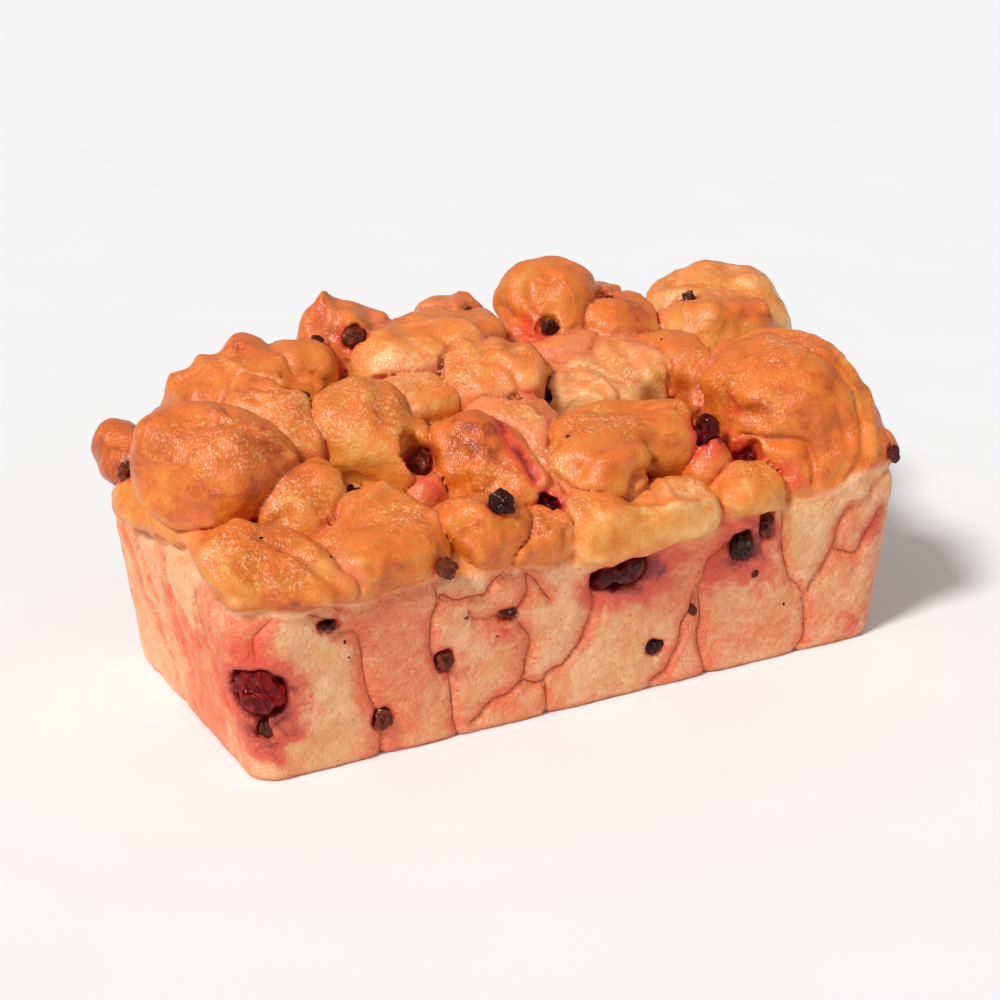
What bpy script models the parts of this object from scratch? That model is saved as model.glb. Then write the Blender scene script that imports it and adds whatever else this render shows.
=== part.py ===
# Cherry nut bread: a pull-apart loaf of fused dough pieces, with raisins and cherries in its surface.
# X runs along the loaf, -Y is its long front side, Z is up, and the base lies on Z = 0.
import bpy
import bmesh
import numpy as np
from mathutils import Matrix, Vector
from mathutils.bvhtree import BVHTree

MM = 0.001

# Driving sizes in millimetres
BASE_LENGTH = 207.0
BASE_WIDTH = 95.0
RIM_LENGTH = 223.0
RIM_WIDTH = 107.0
RIM_HEIGHT = 55.0
SIDE_TOP = 57.0
SIDE_TOP_RADIUS = 10.0
FOOT_RADIUS = 6.0
FOOT_DROP = 2.5
CORNER_RADIUS = 12.0
CORNER_RADIUS_GAIN = 6.0
SIDE_CELL = 2.2

# How full the dough pieces are: 2 is an ellipsoid, more is squarer
FULLNESS = 2.3
# How far the underside of an inner piece reaches down, against its upper half
DEEP = 1.8
LOBE_SUBDIVISIONS = 4

# Seams between the pieces that show on the sides
SEAM_DEPTH = 1.7
SEAM_WIDTH = 3.6
PILLOW_RISE = 0.9
PILLOW_WIDTH = 8.0
SIDE_SHRINK = 0.6
SEAM_UPRIGHT = 0.62

# Joining
JOIN_CELL = 1.4
JOIN_SOFTENING = 2
LOAF_TRIANGLES = 7400

# Fruit
POCKET_GAP = 0.35
WRINKLE = 0.16
WRINKLE_SIZE = 5.0
BIG_FRUIT = 6.0

# Dough pieces of the browned top. Each has one or more lobes:
# middle x, y, z, half sizes along, across and up, and a tilt in degrees about Y.
TOP_PIECES = {
    # front row, hanging over the rim
    "front_1": [(-104, -43, 64, 12, 15, 13, 0), (-87, -45, 58, 15, 12, 8, -4)],
    "front_2": [(-62, -42, 62, 15, 16, 14, 8), (-49, -43, 60, 8, 14, 12, 0), (-73, -43, 58, 8, 13, 8, 0)],
    "front_3": [(-35, -43, 61, 10, 15, 12, 0)],
    "front_4": [(-14, -44, 54, 13, 12, 8, 0)],
    "front_5": [(4, -44, 56, 12, 14, 12, 0), (29, -45, 57, 15, 13, 9, 8), (16, -44, 56, 12, 13, 10, 0)],
    "front_6": [(55, -45, 57, 12, 11, 8, 6)],
    "front_7": [(82, -24, 72, 24, 24, 22, 0), (92, -27, 60, 18, 26, 19, 0), (84, -38, 58, 20, 17, 11, 0)],
    # second row
    "second_1": [(-100, 2, 82, 15, 18, 14, 0), (-86, -4, 74, 14, 15, 10, 0), (-94, -4, 73, 14, 16, 11, 0)],
    "left_ear": [(-107, 34, 71, 10, 14, 10, 0)],
    "left_rim": [(-104, -6, 60, 10, 30, 11, 0), (-102, 30, 60, 10, 18, 10, 0)],
    "second_2": [(-74, -20, 66, 13, 15, 12, 0)],
    "second_3": [(-49, -4, 81, 13, 15, 13, 0), (-53, -13, 74, 9, 10, 9, 0)],
    "second_4": [(-20, -14, 70, 13, 16, 12, 0), (-11, -24, 62, 9, 14, 12, 0), (-20, -16, 77, 5, 7, 5, 0)],
    "second_5": [(-38, -20, 62, 9, 10, 8, 0)],
    "second_6": [(9, -31, 70, 14, 14, 14, 0), (34, -32, 70, 9, 12, 11, 0), (23, -30, 73, 11, 14, 9, 0),
                 (12, -36, 64, 8, 10, 10, 0)],
    "second_7": [(47, -34, 64, 6, 9, 8, 0)],
    "strip": [(-2, -10, 71, 10, 14, 11, 0), (0, -24, 64, 8, 12, 10, 0), (-2, -36, 58, 7, 12, 11, 0)],
    # third row
    "third_1": [(-67, 12, 81, 12, 15, 12, 0), (-76, 18, 90, 4, 5, 5, 0)],
    "third_2": [(-28, 8, 80, 12, 14, 9, 0)],
    "third_3": [(-4, 10, 82, 13, 14, 10, 0), (11, 12, 86, 6, 8, 6, 0)],
    "third_4": [(41, 8, 77, 21, 15, 11, 0), (33, -8, 77, 22, 10, 6, 0)],
    "third_5": [(63, 4, 74, 10, 15, 12, 0)],
    "third_6": [(31, 24, 81, 16, 13, 8, 0)],
    # back row
    "back_1": [(-74, 36, 86, 20, 17, 11, 0), (-69, 38, 93, 4, 8, 6, 0), (-59, 30, 88, 11, 14, 6, 0)],
    "back_2": [(-51, 34, 89, 10, 12, 7, 0)],
    "back_3": [(-34, 42, 95, 13, 12, 8, -25), (-39, 42, 103, 4, 7, 6, 0), (-38, 42, 92, 8, 11, 10, 0)],
    "back_4": [(-18, 26, 89, 21, 13, 9, 0), (-3, 32, 91, 14, 13, 7, 0)],
    "back_5": [(2, 42, 94, 8, 11, 6, 0)],
    "back_6": [(34, 40, 98, 15, 13, 9, 0), (32, 36, 88, 18, 14, 7, 0), (56, 42, 91, 6, 7, 5, 0)],
    "back_7": [(55, 30, 87, 13, 13, 8, 0)],
    "end_top": [(95, 38, 85, 22, 15, 12, 0), (104, 36, 77, 16, 16, 15, 0)],
    "back_9": [(85, 20, 84, 17, 12, 8, 0), (98, 18, 86, 6, 7, 6, 0)],
    # right end and back rim
    "right_1": [(106, -20, 68, 9, 11, 10, 0), (98, -32, 56, 13, 21, 18, 0)],
    "right_2": [(101, 10, 65, 14, 17, 16, 0)],
    "right_3": [(100, 41, 62, 14, 15, 13, 0)],
    "rim_1": [(-88, 45, 66, 19, 13, 14, 0)],
    "rim_2": [(-58, 47, 68, 15, 12, 15, 0)],
    "rim_3": [(-26, 46, 70, 20, 12, 15, 0)],
    "rim_4": [(6, 48, 68, 15, 11, 14, 0)],
    "rim_5": [(36, 47, 70, 18, 12, 16, 0)],
    "rim_6": [(68, 46, 68, 17, 13, 15, 0)],
}
# Pieces at the edge keep a round underside, because it shows
ROUND_UNDER = ("front", "left", "right", "rim", "end", "second_1", "second_6")

# What the top pieces rest in: middle x, y, z and half sizes
CORE = [(0, -26, 48, 106, 26, 15), (-5, 6, 56, 100, 28, 19), (0, 30, 60, 98, 20, 23), (84, -10, 50, 22, 34, 24)]

# Middles of the dough pieces that show on the sides: front, left end, right end, back
SIDE_PIECES = [
    (-90, -51, 26), (-64, -51, 35), (-37, -49, 17), (-41, -53, 50), (-30, -52, 41), (-12, -51, 27),
    (-12, -53, 46), (-22, -48, 4), (14, -50, 19), (31, -52, 42), (35, -49, 9), (55, -50, 20),
    (73, -52, 43), (91, -50, 20), (92, -52, 42),
    (-110, 19, 47), (-109, -14, 41), (-106, 19, 17), (-110, -40, 46), (-106, -17, 15), (-104, -38, 12),
    (108, -26, 16), (110, -8, 44), (107, 18, 18), (110, 34, 46),
    (-86, 50, 40), (-66, 49, 14), (-44, 51, 38), (-22, 49, 12), (2, 51, 42), (18, 49, 16),
    (44, 51, 36), (66, 49, 12), (88, 51, 42), (92, 48, 14),
]

# Cherries and raisins: a point of the surface, the way the fruit faces, its half sizes across,
# up and thick, its spin in degrees, and how deep its middle lies in the dough.
FRUIT = {
    # cherries
    "cherry_1": ((-102, -46, 28), (-0.70, -0.70, -0.05), (8.0, 7.3, 6.2), 0, 3.4),
    "cherry_2": ((8, -52, 43), (0.0, -1.0, -0.1), (8.5, 5.2, 5.0), 8, 2.6),
    "cherry_3": ((47, -34, 72), (-0.3, -0.7, 0.65), (4.6, 5.2, 4.2), 20, 1.4),
    "cherry_4": ((-10, -42, 62), (-0.2, -0.5, 0.85), (2.4, 4.8, 2.4), 25, 0.8),
    "cherry_5": ((60, -36, 63), (-0.5, -0.6, 0.6), (2.6, 2.3, 2.1), 0, 0.5),
    # raisins of the top
    "raisin_01": ((-113, 21, 71), (-0.84, -0.54, 0.0), (2.4, 3.6, 2.4), 0, 1.0),
    "raisin_02": ((-36, 30, 96), (-0.15, -0.9, 0.35), (3.7, 3.5, 2.9), 10, 1.0),
    "raisin_03": ((-35, -12, 71), (0.1, -0.7, 0.7), (3.2, 4.2, 3.1), -35, 0.8),
    "raisin_04": ((-60, -20, 69), (-0.4, -0.8, 0.3), (1.9, 2.6, 2.0), 0, 0.6),
    "raisin_05": ((-29, -50, 71), (0.2, -0.6, 0.75), (3.9, 3.8, 3.0), 30, 1.0),
    "raisin_06": ((16, 9, 76), (0.2, -0.6, 0.75), (2.9, 3.9, 2.9), -10, 0.9),
    "raisin_07": ((26, 23, 92), (-0.2, -0.8, 0.5), (3.3, 2.2, 2.2), 10, 0.7),
    "raisin_08": ((80, 28, 92), (-0.2, -0.4, 0.9), (2.8, 2.0, 1.8), 0, 0.6),
    "raisin_09": ((53, 32, 95), (-0.2, -0.3, 0.9), (1.8, 1.5, 1.5), 0, 0.4),
    # raisins of the front side
    "raisin_10": ((-49, -56, 57), (0.0, -0.95, -0.3), (2.8, 3.1, 2.5), 15, 0.8),
    "raisin_11": ((23, -49, 14), (0.0, -1.0, -0.1), (3.1, 2.3, 2.3), 35, 1.1),
    "raisin_12": ((-66, -49, 12), (0.0, -1.0, -0.1), (2.7, 3.3, 2.4), 10, 1.0),
    "raisin_13": ((-83, -52, 46), (0.0, -1.0, -0.1), (3.2, 1.6, 1.8), -8, 1.0),
    "raisin_14": ((-100, -46, 16), (-0.62, -0.78, -0.05), (2.2, 3.0, 2.2), 0, 1.0),
    "raisin_15": ((58, -52, 47), (0.0, -1.0, -0.1), (2.7, 4.7, 2.7), -10, 1.0),
    "raisin_16": ((50, -52, 42), (0.0, -1.0, -0.1), (3.9, 4.6, 2.9), -30, 1.1),
    "raisin_17": ((-47, -50, 26), (0.0, -1.0, -0.1), (2.4, 3.8, 2.1), -15, 1.2),
    "raisin_18": ((-28, -52, 37), (0.0, -1.0, -0.1), (2.4, 2.0, 1.8), 0, 0.9),
    "raisin_19": ((102, -53, 62), (0.5, -0.85, 0.1), (1.8, 2.7, 1.8), 0, 0.4),
    # fruit of the back and the right end
    "cherry_6": ((68, 51, 33), (0.0, 1.0, -0.1), (7.2, 6.2, 5.2), 0, 3.0),
    "raisin_20": ((-58, 50, 30), (0.0, 1.0, -0.1), (3.2, 2.8, 2.4), 20, 1.0),
    "raisin_21": ((22, 50, 18), (0.0, 1.0, -0.1), (2.9, 3.4, 2.4), -20, 1.0),
    "raisin_22": ((-12, 58, 72), (0.0, 0.9, 0.4), (3.0, 3.5, 2.6), 0, 0.9),
    "raisin_23": ((108, 4, 32), (1.0, 0.0, -0.1), (2.8, 3.6, 2.5), 0, 1.0),
}


def clear_scene():
    for thing in list(bpy.data.objects):
        bpy.data.objects.remove(thing, do_unlink=True)
    for group in list(bpy.data.collections):
        bpy.data.collections.remove(group)


def new_collection(name, helper=False):
    group = bpy.data.collections.new(name)
    bpy.context.scene.collection.children.link(group)
    group.hide_render = helper
    return group


def new_material(name, colour, roughness):
    material = bpy.data.materials.new(name)
    material.use_nodes = True
    shader = material.node_tree.nodes["Principled BSDF"]
    shader.inputs["Base Color"].default_value = (*colour, 1.0)
    shader.inputs["Roughness"].default_value = roughness
    shader.inputs["Metallic"].default_value = 0.0
    material.diffuse_color = (*colour, 1.0)
    return material


def waves(points, size, seed, count=4):
    """A soft, seeded wandering of points, with bends about as far apart as the given size."""
    draw = np.random.default_rng(seed)
    total = np.zeros_like(points)
    for _ in range(count):
        way = draw.normal(size=3)
        way *= 2 * np.pi / size / np.linalg.norm(way) * draw.uniform(0.7, 1.4)
        wave = np.sin(points @ way + draw.uniform(0, 2 * np.pi))
        total += wave[:, None] * draw.normal(size=3)
    return total / np.sqrt(count)


def mesh_points(bm):
    return np.array([vert.co for vert in bm.verts])


def place_points(bm, points):
    for vert, point in zip(bm.verts, points):
        vert.co = Vector(point)


def object_from(bm, name, group):
    mesh = bpy.data.meshes.new(name)
    bm.to_mesh(mesh)
    bm.free()
    thing = bpy.data.objects.new(name, mesh)
    group.objects.link(thing)
    return thing


def tilt_matrix(degrees):
    return np.array(Matrix.Rotation(-np.radians(degrees), 3, "Y"))


def lobe_points(directions, middle, half, tilt, deep):
    """Points of a full, rounded lobe in the given directions, its lower half reaching down by deep."""
    reach = (np.abs(directions) ** FULLNESS).sum(axis=1) ** (-1 / FULLNESS)
    points = directions * reach[:, None] * np.array(half)
    points[:, 2] *= np.where(points[:, 2] < 0, deep, 1.0)
    return points @ tilt_matrix(tilt).T + np.array(middle)


def wander(points, number):
    """The wandering of top piece number, which takes the regularity off its lobes."""
    return waves(points, 36, 10 + number) * 0.9 + waves(points, 15, 110 + number) * 0.35


def add_lobe(group, name, lobe, number, deep):
    bm = bmesh.new()
    bmesh.ops.create_icosphere(bm, subdivisions=LOBE_SUBDIVISIONS, radius=1.0)
    directions = mesh_points(bm)
    directions /= np.linalg.norm(directions, axis=1)[:, None]
    goal = lobe_points(directions, lobe[:3], lobe[3:6], lobe[6], deep)
    points = goal
    if number is not None:
        for _ in range(6):
            points = goal - wander(points, number)
    place_points(bm, points * MM)
    return object_from(bm, name, group)


def rounded_join(first, second, radius):
    """Distance to a block whose two faces meet in a rounded edge."""
    u = first + radius
    v = second + radius
    outside = np.hypot(np.maximum(u, 0), np.maximum(v, 0))
    return outside + np.minimum(np.maximum(u, v), 0) - radius


def seam_gap(points):
    """How far a point of the side is from a seam, as the gap between its two nearest middles."""
    moved = points + waves(points, 30, 501) * 3.0 + waves(points, 12, 502)
    stretch = np.array([1.0, 1.0, SEAM_UPRIGHT])
    away = [np.linalg.norm((moved - middle) * stretch, axis=1) for middle in np.array(SIDE_PIECES)]
    away = np.sort(np.array(away), axis=0)
    return away[1] - away[0]


def side_distance(points):
    """Signed distance to the tapered, rounded block under the top pieces, with its seams."""
    height = np.clip(points[:, 2] / RIM_HEIGHT, 0, 1.25)
    half_length = (BASE_LENGTH + (RIM_LENGTH - BASE_LENGTH) * height) / 2
    half_width = (BASE_WIDTH + (RIM_WIDTH - BASE_WIDTH) * height) / 2
    corner = CORNER_RADIUS + CORNER_RADIUS_GAIN * height
    x = np.abs(points[:, 0]) - half_length
    y = np.abs(points[:, 1]) - half_width
    side = np.hypot(np.maximum(x + corner, 0), np.maximum(y + corner, 0))
    side += np.minimum(np.maximum(x + corner, y + corner), 0) - corner
    block = rounded_join(side, -FOOT_DROP - points[:, 2], FOOT_RADIUS)
    block = rounded_join(block, points[:, 2] - SIDE_TOP, SIDE_TOP_RADIUS)
    gap = seam_gap(points)
    groove = SEAM_DEPTH * np.exp(-(gap / SEAM_WIDTH) ** 2)
    pillow = PILLOW_RISE * (1 - np.exp(-(gap / PILLOW_WIDTH) ** 2))
    return block + groove - pillow + SIDE_SHRINK


def add_side(group):
    """The block of fused pieces that the tin shaped: a cut-up cube moved onto its rounded form."""
    half = np.array([RIM_LENGTH, RIM_WIDTH, SIDE_TOP]) / 2
    bm = bmesh.new()
    bmesh.ops.create_cube(bm, size=2.0)
    for axis in range(3):
        along = [e for e in bm.edges if abs((e.verts[0].co - e.verts[1].co)[axis]) > 1e-6]
        cuts = int(2 * half[axis] / SIDE_CELL)
        bmesh.ops.subdivide_edges(bm, edges=along, cuts=cuts, use_grid_fill=True)
    bmesh.ops.triangulate(bm, faces=bm.faces[:])
    points = mesh_points(bm) * half + np.array([0, 0, half[2]])
    step = 0.2
    for _ in range(10):
        here = side_distance(points)
        slope = [side_distance(points + step * way) - here for way in np.eye(3)]
        slope = np.array(slope).T / step
        points -= slope * (here / np.maximum((slope ** 2).sum(axis=1), 0.3))[:, None]
    place_points(bm, points * MM)
    return object_from(bm, "loaf", group)


def settle(thing):
    """Applies the modifiers of an object."""
    graph = bpy.context.evaluated_depsgraph_get()
    mesh = bpy.data.meshes.new_from_object(thing.evaluated_get(graph), depsgraph=graph)
    old = thing.data
    thing.modifiers.clear()
    thing.data = mesh
    bpy.data.meshes.remove(old)
    mesh.name = thing.name


def fruit_points(directions, half, number):
    """Points of a full fruit, wrinkled by the same soft wandering as the dough."""
    reach = (np.abs(directions) ** FULLNESS).sum(axis=1) ** (-1 / FULLNESS)
    points = directions * reach[:, None] * np.array(half)
    crumple = waves(points, WRINKLE_SIZE * max(half) / 3, 700 + number)
    return points + crumple * WRINKLE * min(half)


def fruit_frame(facing, spin):
    """Axes across, up and outward of a fruit that faces one way and is spun about it."""
    out = Vector(facing).normalized()
    across = Vector((-out.y, out.x, 0.0)).normalized()
    up = out.cross(across)
    frame = Matrix((across, up, out)).transposed()
    return frame @ Matrix.Rotation(np.radians(spin), 3, "Z")


def add_fruit(name, number, surface, group, cutters):
    """A fruit at the surface, and its larger twin that cuts its pocket."""
    point, facing, half, spin, depth = FRUIT[name]
    nearest = surface.find_nearest(Vector(point) * MM)[0]
    frame = fruit_frame(facing, spin)
    middle = nearest - frame.col[2] * depth * MM
    made = []
    for grown, holder in ((0.0, group), (POCKET_GAP, cutters)):
        bm = bmesh.new()
        level = 3 if max(half) > BIG_FRUIT else 2
        bmesh.ops.create_icosphere(bm, subdivisions=level, radius=1.0)
        place_points(bm, fruit_points(mesh_points(bm), half, number) * MM)
        bm.normal_update()
        moved = [vert.co + vert.normal * grown * MM for vert in bm.verts]
        place_points(bm, moved)
        bmesh.ops.transform(bm, matrix=Matrix.Translation(middle) @ frame.to_4x4(), verts=bm.verts)
        made.append(object_from(bm, name if grown == 0 else name + "_pocket", holder))
    return made[0]


def keep_largest(thing):
    """Drops sealed hollows and loose scraps, which leaves the one solid."""
    bm = bmesh.new()
    bm.from_mesh(thing.data)
    left = set(bm.verts)
    shells = []
    while left:
        shell = set()
        queue = [left.pop()]
        while queue:
            vert = queue.pop()
            shell.add(vert)
            for edge in vert.link_edges:
                other = edge.other_vert(vert)
                if other in left:
                    left.remove(other)
                    queue.append(other)
        shells.append(shell)
    shells.sort(key=len)
    for shell in shells[:-1]:
        bmesh.ops.delete(bm, geom=list(shell), context="VERTS")
    bm.to_mesh(thing.data)
    bm.free()


def boolean(thing, operation, solver, tool=None, group=None):
    step = thing.modifiers.new(operation.lower(), "BOOLEAN")
    step.operation = operation
    step.solver = solver
    if group is None:
        step.object = tool
    else:
        step.operand_type = "COLLECTION"
        step.collection = group
    settle(thing)


def remove_group(group):
    for thing in list(group.objects):
        bpy.data.objects.remove(thing, do_unlink=True)
    bpy.data.collections.remove(group)


def make_loaf(group):
    loaf = add_side(group)
    pieces = new_collection("pieces_to_join", helper=True)
    for number, (name, lobes) in enumerate(TOP_PIECES.items()):
        deep = 1.0 if name.startswith(ROUND_UNDER) else DEEP
        for lobe in lobes:
            add_lobe(pieces, name, lobe, number, deep)
    for middle_and_half in CORE:
        add_lobe(pieces, "core", (*middle_and_half, 0), None, 1.0)
    boolean(loaf, "UNION", "MANIFOLD", group=pieces)
    remove_group(pieces)
    keep_largest(loaf)

    join = loaf.modifiers.new("join", "REMESH")
    join.mode = "VOXEL"
    join.voxel_size = JOIN_CELL * MM
    soften = loaf.modifiers.new("soften", "SMOOTH")
    soften.factor = 0.5
    soften.iterations = JOIN_SOFTENING
    settle(loaf)
    keep_largest(loaf)

    count = sum(len(face.vertices) - 2 for face in loaf.data.polygons)
    fewer = loaf.modifiers.new("fewer", "DECIMATE")
    fewer.ratio = LOAF_TRIANGLES / count
    fewer.use_collapse_triangulate = True
    settle(loaf)
    return loaf


def cut_flat(loaf):
    """Cuts the base off flat at Z = 0."""
    bm = bmesh.new()
    bmesh.ops.create_cube(bm, size=1.0)
    bmesh.ops.scale(bm, vec=(0.4, 0.3, 0.05), verts=bm.verts)
    bmesh.ops.translate(bm, vec=(0, 0, -0.025), verts=bm.verts)
    holder = new_collection("base_cutter", helper=True)
    table = object_from(bm, "table", holder)
    boolean(loaf, "DIFFERENCE", "EXACT", tool=table)
    remove_group(holder)


def main():
    clear_scene()
    bread = new_collection("cherry_nut_bread")
    crust = new_material("crust", (0.78, 0.42, 0.16), 0.45)
    raisin = new_material("raisin", (0.05, 0.018, 0.012), 0.3)
    cherry = new_material("cherry", (0.20, 0.008, 0.015), 0.15)

    loaf = make_loaf(bread)
    cut_flat(loaf)
    surface = BVHTree.FromObject(loaf, bpy.context.evaluated_depsgraph_get())
    pockets = new_collection("pockets", helper=True)
    for number, name in enumerate(FRUIT):
        fruit = add_fruit(name, number, surface, bread, pockets)
        fruit.data.materials.append(cherry if name.startswith("cherry") else raisin)
    boolean(loaf, "DIFFERENCE", "MANIFOLD", group=pockets)
    remove_group(pockets)
    keep_largest(loaf)
    loaf.data.materials.clear()
    loaf.data.materials.append(crust)


main()
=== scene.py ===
# %% [markdown]
# # Cherry nut bread
# This lesson dresses a loaf of pull-apart bread. Balls of sweet dough were dropped into a loaf tin with
# cherries and raisins, rose until they touched, and were baked until their tops browned.
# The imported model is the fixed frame. It gives the loaf's size and the place of every fruit.

# %% Load the frame
import bpy
import bmesh
import numpy as np
import openvdb
from mathutils import Matrix, Vector, noise
from mathutils.bvhtree import BVHTree


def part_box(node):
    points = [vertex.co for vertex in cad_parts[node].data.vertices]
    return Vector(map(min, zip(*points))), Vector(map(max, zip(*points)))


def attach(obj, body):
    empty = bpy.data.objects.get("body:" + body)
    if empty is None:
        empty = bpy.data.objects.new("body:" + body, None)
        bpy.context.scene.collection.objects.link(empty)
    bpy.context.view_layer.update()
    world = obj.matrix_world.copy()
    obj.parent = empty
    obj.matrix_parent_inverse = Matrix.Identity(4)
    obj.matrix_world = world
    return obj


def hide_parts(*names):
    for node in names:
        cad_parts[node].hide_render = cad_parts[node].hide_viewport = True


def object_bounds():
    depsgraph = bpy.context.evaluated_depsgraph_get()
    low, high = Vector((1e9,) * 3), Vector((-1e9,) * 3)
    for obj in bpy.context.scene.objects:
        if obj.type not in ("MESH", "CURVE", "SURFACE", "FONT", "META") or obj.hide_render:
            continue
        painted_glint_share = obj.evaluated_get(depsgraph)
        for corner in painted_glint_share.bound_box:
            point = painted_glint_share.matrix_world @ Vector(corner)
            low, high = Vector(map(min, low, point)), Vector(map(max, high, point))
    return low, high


MM = 0.001

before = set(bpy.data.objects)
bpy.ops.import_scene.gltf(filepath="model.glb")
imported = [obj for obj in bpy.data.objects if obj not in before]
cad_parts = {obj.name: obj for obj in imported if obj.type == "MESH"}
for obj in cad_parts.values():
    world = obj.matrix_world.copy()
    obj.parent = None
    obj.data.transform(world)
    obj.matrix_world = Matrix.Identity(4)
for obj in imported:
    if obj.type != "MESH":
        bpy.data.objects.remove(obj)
cad_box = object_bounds()
print("nodes", len(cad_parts), "box in mm", [[round(c / MM, 1) for c in corner] for corner in cad_box])

# %% [markdown]
# ## The dough pieces
# Each piece of the top was a soft ball that pushed against its neighbours. One way to make it is to sculpt
# every ball as a mesh and join them, but joined meshes leave sharp cuts that no dough has. Here each ball is
# a distance function instead: a number for every point of space that is negative inside the dough. Numbers
# can be blended, dented and creased before there is any mesh at all. All sizes are in millimetres.

# %% Sizes of the loaf
BASE_LENGTH = 207.0
BASE_WIDTH = 95.0
RIM_LENGTH = 223.0
RIM_WIDTH = 107.0
RIM_HEIGHT = 55.0
SIDE_TOP = 57.0
SIDE_TOP_RADIUS = 10.0
FOOT_RADIUS = 4.0
FOOT_DROP = 1.5
CORNER_RADIUS = 8.0
CORNER_RADIUS_GAIN = 9.0
SIDE_SHRINK = 0.6
FULLNESS = 2.45
DEEP = 1.8

# Each piece has one or more lobes: middle x, y, z, half sizes along, across and up, and for a turned one the
# degrees about Y and then about Z
TOP_PIECES = {
    "front_1": [(-97, -41, 62, 17, 13, 10, 6, -14), (-86, -48, 59, 12, 10, 6, 8, -5)],
    "front_2": [(-65, -43, 61, 18, 13, 9, -8, 10), (-54, -43, 61, 10, 12, 8),
        (-59, -28, 65, 9, 13, 8, 0, 60), (-82, -44, 56, 10, 10, 5)],
    "front_3": [(-33, -43, 61, 11, 14, 10, 0, 10)],
    "front_4": [(-16, -45, 56, 13, 11, 7)],
    "front_5": [(0, -45, 56, 11, 12, 11, 0, -10), (19, -50, 56, 18, 12, 7, 0, -5), (33, -49, 58, 7, 10, 8)],
    "front_6": [(54, -45, 57, 13, 11, 7, -3, -5)],
    "front_7": [(80, -24, 72, 23, 24, 21), (90, -26, 60, 16, 25, 19), (84, -38, 58, 20, 17, 11)],
    "second_1": [(-97, -3, 78, 21, 16, 16, 6, -50), (-84, -9, 75, 11, 9, 9, 6, -45)],
    "left_ear": [(-107, 36, 70, 9, 12, 10)],
    "left_rim": [(-106, 8, 62, 22, 7, 8, 0, -75), (-100, -19, 60, 12, 8, 7, 0, -60)],
    "second_2": [(-75, -20, 66, 13, 12, 12, 0, 30), (-80, -17, 60, 7, 11, 9)],
    "second_3": [(-49, 0, 80, 14, 14, 13, 0, 60), (-42, -6, 71, 13, 12, 10, 0, -30)],
    "second_4": [(-19, -15, 68, 15, 16, 13), (-22, -18, 80, 5, 6, 5), (-13, -30, 62, 11, 13, 11)],
    "second_5": [(-37, -18, 62, 9, 8, 7)],
    "second_6": [(24, -23, 73, 21, 11, 8, 0, -8), (10, -35, 68, 15, 12, 12), (37, -27, 70, 9, 11, 11)],
    "second_7": [(47, -33, 65, 6, 9, 8)],
    "strip": [(-4, -8, 74, 13, 12, 9, 0, -60), (-5, -31, 63, 20, 10, 9, 12, -62)],
    "third_1": [(-71, 6, 80, 15, 11, 12, 14, -45), (-75, 17, 86, 5, 7, 7, 0, -30)],
    "third_2": [(-27, 11, 78, 13, 14, 10)],
    "third_3": [(-3, 8, 84, 14, 13, 11, 0, -20), (11, 8, 88, 5, 6, 6)],
    "third_4": [(42, 11, 80, 22, 15, 8, 4, -25), (26, 0, 76, 16, 9, 7, 0, -25)],
    "third_5": [(61, -1, 76, 8, 13, 13), (54, 14, 80, 10, 10, 8)],
    "third_6": [(31, 24, 81, 17, 13, 8)],
    "back_1": [(-75, 36, 85, 19, 17, 10, -12, 0), (-69, 38, 91, 4, 8, 6), (-60, 30, 87, 11, 14, 6)],
    "back_2": [(-53, 35, 89, 11, 12, 8)],
    "back_3": [(-32, 42, 94, 13, 12, 8, 24, 0), (-39, 42, 101, 5, 7, 7), (-37, 42, 92, 8, 11, 10)],
    "back_4": [(-18, 26, 89, 21, 14, 9), (-3, 32, 91, 15, 14, 7)],
    "back_5": [(2, 42, 93, 8, 11, 6)],
    "back_6": [(34, 40, 95, 16, 14, 12), (32, 34, 84, 14, 13, 10), (56, 42, 91, 6, 7, 5)],
    "back_7": [(52, 30, 86, 16, 14, 9)],
    "end_top": [(94, 38, 85, 21, 15, 11, 7, 0), (104, 36, 77, 16, 16, 14)],
    "back_9": [(82, 20, 83, 17, 13, 9), (97, 18, 85, 6, 7, 6)],
    "right_1": [(102, -20, 67, 9, 11, 10), (96, -31, 56, 12, 20, 18)],
    "right_2": [(100, 10, 65, 14, 17, 16)],
    "right_3": [(99, 41, 62, 14, 15, 13)],
    "rim_1": [(-87, 46, 61, 18, 11, 12)],
    "rim_2": [(-58, 47, 68, 15, 12, 15)],
    "rim_3": [(-26, 46, 70, 20, 12, 15)],
    "rim_4": [(6, 48, 68, 15, 11, 14)],
    "rim_5": [(36, 47, 70, 18, 12, 16)],
    "rim_6": [(68, 46, 68, 17, 13, 15)],
}
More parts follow.
